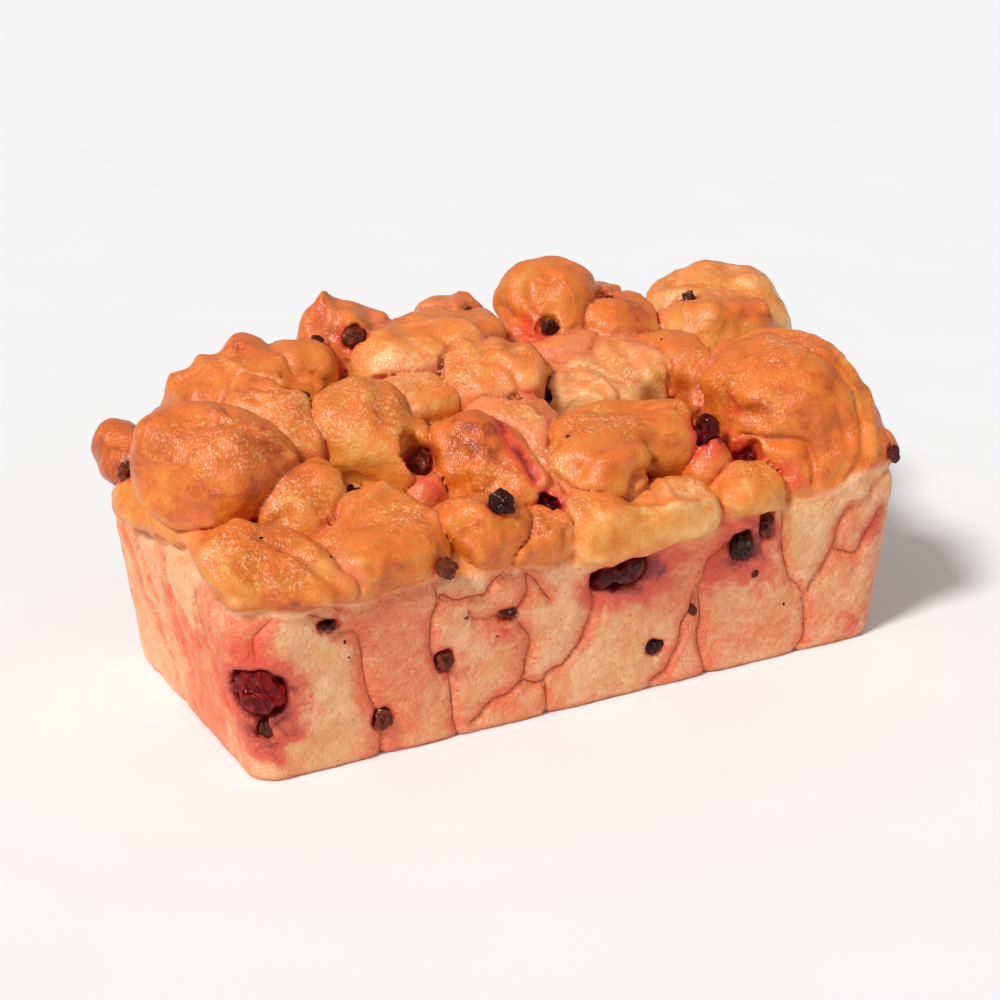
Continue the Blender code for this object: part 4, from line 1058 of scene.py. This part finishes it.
# %% Scraps of raisin
# Point of the surface, half sizes along, across and thick, and spin
SCRAPS = [
    ((-47, 33, 95), (2.0, 1.8, 1.3), 20), ((-61, 8, 92), (2.2, 1.2, 1.0), 0),
    ((3, 32, 98), (1.3, 1.0, 0.8), 30), ((-32, -5, 76), (2.0, 1.5, 1.2), 10),
    ((55, -51, 32), (1.3, 1.2, 0.7), 0), ((34, -50, 24), (1.4, 2.0, 0.7), 20),
    ((-78, -51, 40), (0.4, 0.6, 0.3), 0), ((-77, -50, 35), (0.35, 0.35, 0.3), 0),
    ((67, -49, 19), (0.5, 0.5, 0.3), 0), ((-41, -51, 39), (0.9, 0.35, 0.3), 0),
    ((1, -32, 81), (0.6, 0.7, 0.35), 20), ((-31, -50, 31), (0.4, 0.35, 0.3), 0),
    ((-97, -41, 70), (0.7, 0.35, 0.3), 0), ((-80, -50, 66), (0.7, 0.4, 0.3), 0),
    ((56, 3, 86), (0.5, 0.4, 0.3), 0), ((40, 48, 30), (1.3, 1.0, 0.6), 0),
    ((-30, 50, 22), (1.5, 1.1, 0.7), 20), ((108, -20, 28), (1.2, 1.0, 0.7), 0),
    ((-90, 50, 24), (0.9, 1.4, 0.6), 0), ((86, 50, 20), (1.1, 0.9, 0.6), 15),
]


def scrap_frame(out, spin):
    across = Vector((-out.y, out.x, 0.0)).normalized() if abs(out.z) < 0.95 else Vector((1, 0, 0))
    up = out.cross(across).normalized()
    return Matrix((up.cross(out), up, out)).transposed() @ Matrix.Rotation(np.radians(spin), 3, "Z")


def make_scraps():
    bm = bmesh.new()
    for place, half, spin in SCRAPS:
        made = bmesh.ops.create_icosphere(bm, subdivisions=3, radius=1.0)["verts"]
        point, out, _, _ = skin_tree.find_nearest(Vector(place) * MM)
        turn = scrap_frame(out, spin)
        for vert in made:
            rough = 1 + 0.25 * noise.noise(vert.co * 1.7 + Vector(place))
            local = Vector(c * h for c, h in zip(vert.co * rough, half))
            vert.co = point + turn @ local * MM
    thing = object_from(bm, "raisin_scraps")
    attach(thing, "root")
    return thing


scraps = make_scraps()
print("scraps", len(SCRAPS), "faces", len(scraps.data.polygons))

# %% [markdown]
# ## Writing finishes as sums
# A finish is a network of nodes, but it reads better as arithmetic. A small class wraps one socket, and its
# sums and products add Math nodes. One method adds any other node.

# %% Shader arithmetic
class Value:
    """One output socket. Arithmetic on it adds Math nodes."""

    def __init__(self, finish, socket):
        self.finish = finish
        self.socket = socket

    def math(self, operation, *numbers):
        return self.finish.node("ShaderNodeMath", {"operation": operation}, dict(enumerate(numbers)))

    def __add__(self, other):
        return self.math("ADD", self, other)

    def __sub__(self, other):
        return self.math("SUBTRACT", self, other)

    def __rsub__(self, other):
        return self.math("SUBTRACT", other, self)

    def __mul__(self, other):
        return self.math("MULTIPLY", self, other)

    def __truediv__(self, other):
        return self.math("DIVIDE", self, other)

    __radd__ = __add__
    __rmul__ = __mul__

    def size(self):
        return self.math("ABSOLUTE", self)

    def step(self, low, high):
        """0 below low, 1 above high, and smooth between."""
        limits = {"Value": self, "From Min": low, "From Max": high}
        return self.finish.node("ShaderNodeMapRange", {"interpolation_type": "SMOOTHSTEP"}, limits)

    def limited(self):
        return self.finish.node("ShaderNodeClamp", {}, {"Value": self})


class Finish:
    """A material and the one method that adds nodes to it."""

    def __init__(self, name):
        self.material = bpy.data.materials.new(name)
        self.material.use_nodes = True
        self.tree = self.material.node_tree
        self.shader = self.tree.nodes["Principled BSDF"]
        where = self.node("ShaderNodeTexCoord", output="Object")
        self.place = self.node("ShaderNodeVectorMath", {"operation": "SCALE"}, {0: where, "Scale": 1 / MM})

    def node(self, kind, settings=None, sockets=None, output=0):
        added = self.tree.nodes.new(kind)
        for name, value in (settings or {}).items():
            if name == "stops":
                self.set_stops(added.color_ramp, value)
            else:
                setattr(added, name, value)
        for name, value in (sockets or {}).items():
            self.feed(added.inputs[name], value)
        return Value(self, added.outputs[output])

    def set_stops(self, ramp, stops):
        while len(ramp.elements) < len(stops):
            ramp.elements.new(1.0)
        for element, (position, colour) in zip(ramp.elements, stops):
            element.position = position
            element.color = (*colour, 1.0)

    def feed(self, socket, value):
        if isinstance(value, Value):
            self.tree.links.new(value.socket, socket)
        else:
            socket.default_value = value

    def grain(self, size, detail=2.0, rough=0.5, twist=0.0, place=None):
        """Noise whose lumps are about size millimetres across, from 0 to 1."""
        sockets = {"Vector": place or self.place, "Scale": 1 / size, "Detail": detail,
                   "Roughness": rough, "Distortion": twist}
        return self.node("ShaderNodeTexNoise", {}, sockets)

    def pits(self, size):
        """Distance to scattered points about size millimetres apart."""
        return self.node("ShaderNodeTexVoronoi", {}, {"Vector": self.place, "Scale": 1 / size}, "Distance")

    def mark(self, name):
        return self.node("ShaderNodeAttribute", {"attribute_name": name}, {}, "Fac")

    def mix(self, share, first, second):
        first, second = (value if isinstance(value, Value) else (*value, 1.0) for value in (first, second))
        return self.node("ShaderNodeMix", {"data_type": "RGBA"}, {0: share, 6: first, 7: second}, 2)

    def ramp(self, value, stops):
        return self.node("ShaderNodeValToRGB", {"stops": stops}, {"Fac": value})

    def stretched(self, x, y, z):
        return self.node("ShaderNodeVectorMath", {"operation": "MULTIPLY"}, {0: self.place, 1: (x, y, z)})

    def bump(self, height):
        """Relief, with the height in millimetres."""
        return self.node("ShaderNodeBump", {}, {"Strength": 1.0, "Distance": MM, "Height": height})

    def set(self, **sockets):
        for name, value in sockets.items():
            self.feed(self.shader.inputs[name.replace("_", " ").title().replace("Ior", "IOR")], value)


print("shader helpers ready")

# %% [markdown]
# ## The bread's finish
# One finish serves the top and the sides, because the crust fades into the pale crumb without an edge.
# The crust runs from cream through gold to brown. The sides are cream with pink streaks where the juice ran.
# Fine wrinkles of the glazed skin break the shine into flecks. Pale painted glints on their crests and darker
# painted shade in their valleys are mixed into the colour.

# %% Bread colours
CRUST_STOPS = [
    (0.0, (0.89, 0.51, 0.20)), (0.22, (0.82, 0.365, 0.080)), (0.42, (0.76, 0.256, 0.034)),
    (0.60, (0.71, 0.176, 0.015)), (0.78, (0.56, 0.104, 0.008)), (1.0, (0.36, 0.052, 0.004)),
]
CREAM = (0.90, 0.51, 0.275)
BUFF = (0.82, 0.40, 0.165)
SALMON = (0.85, 0.19, 0.08)
PINK = (0.92, 0.25, 0.115)
RUDDY = (0.86, 0.175, 0.026)
JUICE = (0.74, 0.065, 0.028)
DEEP_JUICE = (0.23, 0.006, 0.006)
SEAM_BROWN = (0.46, 0.050, 0.026)
SPECK = (0.10, 0.035, 0.02)
# A dark brown for the crease lines and the valleys of the fine wrinkles, where it is partly painted shade,
# and for the darker foot
BROWN_AND_PAINTED_SHADE = (0.56, 0.085, 0.024)
# Pale colour of the painted highlight glints on the crests of the fine wrinkles
PAINTED_GLINT = (1.0, 0.62, 0.34)
CRUST_ROUGHNESS = 0.33
FILM_SHINE = 0.23
CRUMB_ROUGHNESS = 0.6
WET_SHINE = 0.25


def bread_finish():
    bread = Finish("bread")
    crumb = bread.mark("crumb")
    juice = bread.mark("juice")
    blush = bread.mark("blush")
    broad = bread.grain(9, 3, 0.55, 0.6)
    small = bread.grain(2.4, 4, 0.62, 0.5)
    fine = bread.grain(0.7, 2, 0.6)
    mottle = bread.grain(6, 5, 0.68, 1.0)
    streaks = bread.grain(3.2, 4, 0.62, 1.6, bread.stretched(1.0, 1.0, 0.7))

    browning = bread.mark("brown") + (broad - 0.5) * 0.65 + (small - 0.5) * 0.40 + (fine - 0.5) * 0.25
    crust = bread.ramp(browning, CRUST_STOPS)
    # Up-facing tops are mixed toward a brighter red-orange: partly a random tone and the bake, partly painted
    # light on the tops
    ruddy_and_painted_top_light = (bread.grain(5, 4, 0.6, 0.8) - 0.5) * 3 + bread.mark("up")
    crust = bread.mix(ruddy_and_painted_top_light.step(0.2, 1.1) * 0.65, crust, RUDDY)
    flush = (blush * 1.1 + (mottle - 0.5) * 1.3 + bread.mark("crease") * 0.5 - 0.1).step(0.25, 1.0)
    crust = bread.mix(flush * 0.62, crust, PINK)
    # Crease and tuck lines darkened: partly a dark crease colour, partly painted shade
    crust = bread.mix(bread.mark("line") * (0.35 + small * 0.5), crust, BROWN_AND_PAINTED_SHADE)
    # Painted highlight: pale glints on the crests of the fine wrinkles, where the glazed skin is shiny and
    # faces up; the same mask also lowers the roughness and raises the relief
    glossy_skin_and_glints = (bread.mark("glaze") * 1.4 + (broad - 0.4) * 1.1 * bread.mark("up")).limited()
    skin = bread.grain(0.9, 2.5, 0.6, 0.5)
    painted_glint_patches = glossy_skin_and_glints * bread.grain(2.2, 2, 0.6).step(0.36, 0.62)
    painted_glint_share = painted_glint_patches.step(0.05, 0.6) * (1.3 - browning).limited()
    crust = bread.mix(skin.step(0.50, 0.64) * painted_glint_share * 0.62, crust, PAINTED_GLINT)
    # Painted shade: the valleys between the fine wrinkles are darkened, more where the skin is shiny
    crust = bread.mix((1 - skin).step(0.52, 0.66) * (0.12 + glossy_skin_and_glints * 0.3), crust, BROWN_AND_PAINTED_SHADE)

    cream = bread.mix((broad * 0.6 + small * 0.4).step(0.38, 0.62), CREAM, BUFF)
    beside = bread.mark("beside")
    salmon = blush + beside * 0.5 + (mottle - 0.5) * 2.6 + (streaks - 0.5)
    side = bread.mix(salmon.step(-0.1, 1.3) * 0.92, cream, SALMON)
    veins = (1 - ((bread.grain(4.5, 5, 0.66, 1.2) - 0.5) * 18).size()).limited()
    side = bread.mix(veins * (blush * 0.7 + beside).step(0.0, 0.8) * 0.5, side, JUICE)
    side = bread.mix(beside * streaks.step(0.45, 0.62) * 0.4, side, RUDDY)
    foot = (1 - bread.mark("height")).step(0.5, 1.0)
    side = bread.mix(foot * (0.2 + streaks * 0.6), side, BROWN_AND_PAINTED_SHADE)
    across = (bread.mark("side") - 0.5) * SIDE_SPAN + (fine - 0.5) * 0.9
    seam = (1 - across.size() / (0.1 + streaks * 0.5)).limited() * bread.mark("seam").step(0.15, 0.6)
    faded = bread.grain(11, 2, 0.6).step(0.36, 0.56)
    side = bread.mix(seam * (0.15 + faded * 0.65), side, SEAM_BROWN)
    pore = (1 - bread.pits(2.6).step(0.05, 0.13)) * bread.grain(8, 2).step(0.48, 0.58)
    side = bread.mix(pore * 0.5, side, SPECK)

    border = crumb * (1 - crumb) * 4
    colour = bread.mix((crumb + (small - 0.5) * 0.6 * border).limited(), crust, side)
    colour = bread.mix(border * mottle.step(0.4, 0.6) * 0.3, colour, SALMON)
    wet = (juice + (mottle - 0.5) * 0.9 * juice.step(0.05, 0.4)).limited()
    colour = bread.mix(wet.step(0.1, 0.6) * 0.85, colour, JUICE)
    colour = bread.mix(wet.step(0.6, 1.0) * 0.95, colour, DEEP_JUICE)

    crust_relief = (skin - 0.5) * (0.26 + glossy_skin_and_glints * 0.28) + (small - 0.5) * 0.14
    side_relief = (small - 0.5) * 0.9 + (fine - 0.5) * 0.3 + (streaks - 0.5) * 0.4 - pore * 0.3 - seam * 0.3
    height = crust_relief * (1 - crumb) + side_relief * crumb
    dry = (CRUST_ROUGHNESS - glossy_skin_and_glints * FILM_SHINE) * (1 - crumb) + CRUMB_ROUGHNESS * crumb
    bread.set(base_color=colour, roughness=dry - wet.step(0.2, 0.8) * WET_SHINE, normal=bread.bump(height),
              subsurface_weight=0.05, subsurface_radius=(1.0, 0.35, 0.12), subsurface_scale=0.002,
              specular_ior_level=0.5)
    return bread.material


bread_material = bread_finish()
for thing in loaf_parts:
    thing.data.materials.append(bread_material)
print("bread nodes", len(bread_material.node_tree.nodes))

# %% [markdown]
# ## Fruit finishes
# Cherry flesh is dark red and lets some light through. Raisins run from reddish brown to nearly black, with a
# tight, shiny skin.

# %% Fruit colours
# Each skin: its colour in the dark, middle and light patches, its roughness, and how much light it lets in
SKINS = {
    "cherry": [(0.05, 0.001, 0.001), (0.14, 0.0015, 0.002), (0.34, 0.006, 0.006), 0.09, 0.05],
    "dark_cherry": [(0.018, 0.001, 0.001), (0.06, 0.0015, 0.002), (0.19, 0.006, 0.006), 0.10, 0.02],
    "raisin": [(0.016, 0.004, 0.003), (0.055, 0.010, 0.005), (0.14, 0.028, 0.013), 0.13, 0.05],
    "dark_raisin": [(0.008, 0.002, 0.001), (0.022, 0.006, 0.003), (0.060, 0.014, 0.007), 0.11, 0.0],
    "warm_raisin": [(0.040, 0.007, 0.003), (0.12, 0.020, 0.007), (0.26, 0.055, 0.018), 0.13, 0.08],
}
PATCHES = (0.25, 0.5, 0.8)
# Numbers of the fruit that is darker or warmer than its kind
DARK = {"cherry": (2, 3, 4, 5), "raisin": (5, 11, 13, 16)}
WARM = {"raisin": (1, 2, 3, 6, 10, 12, 15, 17)}


def fruit_finish(name, dark, middle, light, rough, glow):
    fruit = Finish(name)
    patches = fruit.grain(3.0, 3, 0.6, 0.5)
    fine = fruit.grain(0.6, 3, 0.6, 0.6)
    wrinkle_and_painted_sheen = (1 - ((fruit.grain(3.0, 2, 0.5, 0.8) - 0.5) * 8).size()).limited()
    stops = list(zip(PATCHES, (dark, middle, light)))
    # The raised lines also lighten the colour, as a painted sheen along them
    colour = fruit.ramp(patches + (fine - 0.5) * 0.15 + wrinkle_and_painted_sheen * 0.1, stops)
    fruit.set(base_color=colour, roughness=(rough + (patches - 0.5) * 0.2).limited(),
              normal=fruit.bump((fine - 0.5) * 0.03 + wrinkle_and_painted_sheen * 0.08), subsurface_weight=glow,
              subsurface_radius=(1.0, 0.12, 0.08), subsurface_scale=0.0015, specular_ior_level=0.18)
    return fruit.material


def skin_of(name):
    """The skin of a fruit: that of its kind, or a darker or warmer one."""
    kind, number = name.split("_")
    shades = {"dark_": DARK, "warm_": WARM}
    return next((shade + kind for shade, named in shades.items() if int(number) in named.get(kind, ())), kind)


skins = {name: fruit_finish(name, *look) for name, look in SKINS.items()}
for name, fruit in fruits.items():
    fruit.data.materials.append(skins[skin_of(name)])
scraps.data.materials.append(skins["raisin"])
print("fruit finishes", len(skins))

# %% [markdown]
# ## Floor, light and camera
# A big pale floor, a bright sky and one large soft lamp from the upper left give the look of a product
# picture on white.

# %% Studio
LOOK_AT = Vector((-3.2, 0.0, 48.3)) * MM
CAMERA_TURN = np.radians(-28)
CAMERA_RISE = np.radians(22.5)
CAMERA_AWAY = 720 * MM
LENS = 86.4
SENSOR = 36.0
FLOOR_REACH = 4.0
FLOOR_DROP = 0.02 * MM
SKY_STRENGTH = 0.34


def make_floor():
    bm = bmesh.new()
    bmesh.ops.create_grid(bm, x_segments=8, y_segments=8, size=FLOOR_REACH)
    floor = object_from(bm, "floor")
    floor.location.z = -FLOOR_DROP
    finish = Finish("floor")
    shade = finish.mix(finish.grain(60, 2), (0.93, 0.93, 0.93), (0.96, 0.96, 0.96))
    finish.set(base_color=shade, roughness=0.7)
    floor.data.materials.append(finish.material)


def placed(name, data, toward, away=1.0):
    """A lamp or a camera some way off, turned to the middle of the view."""
    thing = bpy.data.objects.new(name, data)
    thing.location = LOOK_AT + toward * away
    thing.rotation_mode = "QUATERNION"
    thing.rotation_quaternion = toward.to_track_quat("Z", "Y")
    bpy.context.scene.collection.objects.link(thing)
    return thing


def soft_lamp(name, way, spread, strength):
    """A far, wide lamp, so the light is even over the floor; spread is its width in degrees."""
    lamp = placed(name, bpy.data.lights.new(name, "SUN"), Vector(way).normalized())
    lamp.data.energy = strength
    lamp.data.angle = np.radians(spread)


def make_camera():
    flat = np.cos(CAMERA_RISE)
    toward = Vector((np.sin(CAMERA_TURN) * flat, -np.cos(CAMERA_TURN) * flat, np.sin(CAMERA_RISE)))
    camera = placed("camera", bpy.data.cameras.new("camera"), toward, CAMERA_AWAY)
    camera.data.lens = LENS
    camera.data.sensor_width = SENSOR
    camera.data.clip_start = 0.05
    camera.data.clip_end = 20
    bpy.context.scene.camera = camera


def make_sky():
    world = bpy.data.worlds.new("studio")
    world.use_nodes = True
    background = world.node_tree.nodes["Background"]
    background.inputs["Color"].default_value = (1, 1, 1, 1)
    background.inputs["Strength"].default_value = SKY_STRENGTH
    bpy.context.scene.world = world


make_floor()
soft_lamp("key", (-0.65, -0.25, 0.75), spread=12, strength=2.7)
soft_lamp("front", (-0.15, -1.0, 0.45), spread=60, strength=0.3)
make_sky()
bpy.context.scene.view_settings.view_transform = "Standard"
make_camera()
print("camera at", [round(c, 3) for c in bpy.context.scene.camera.location])
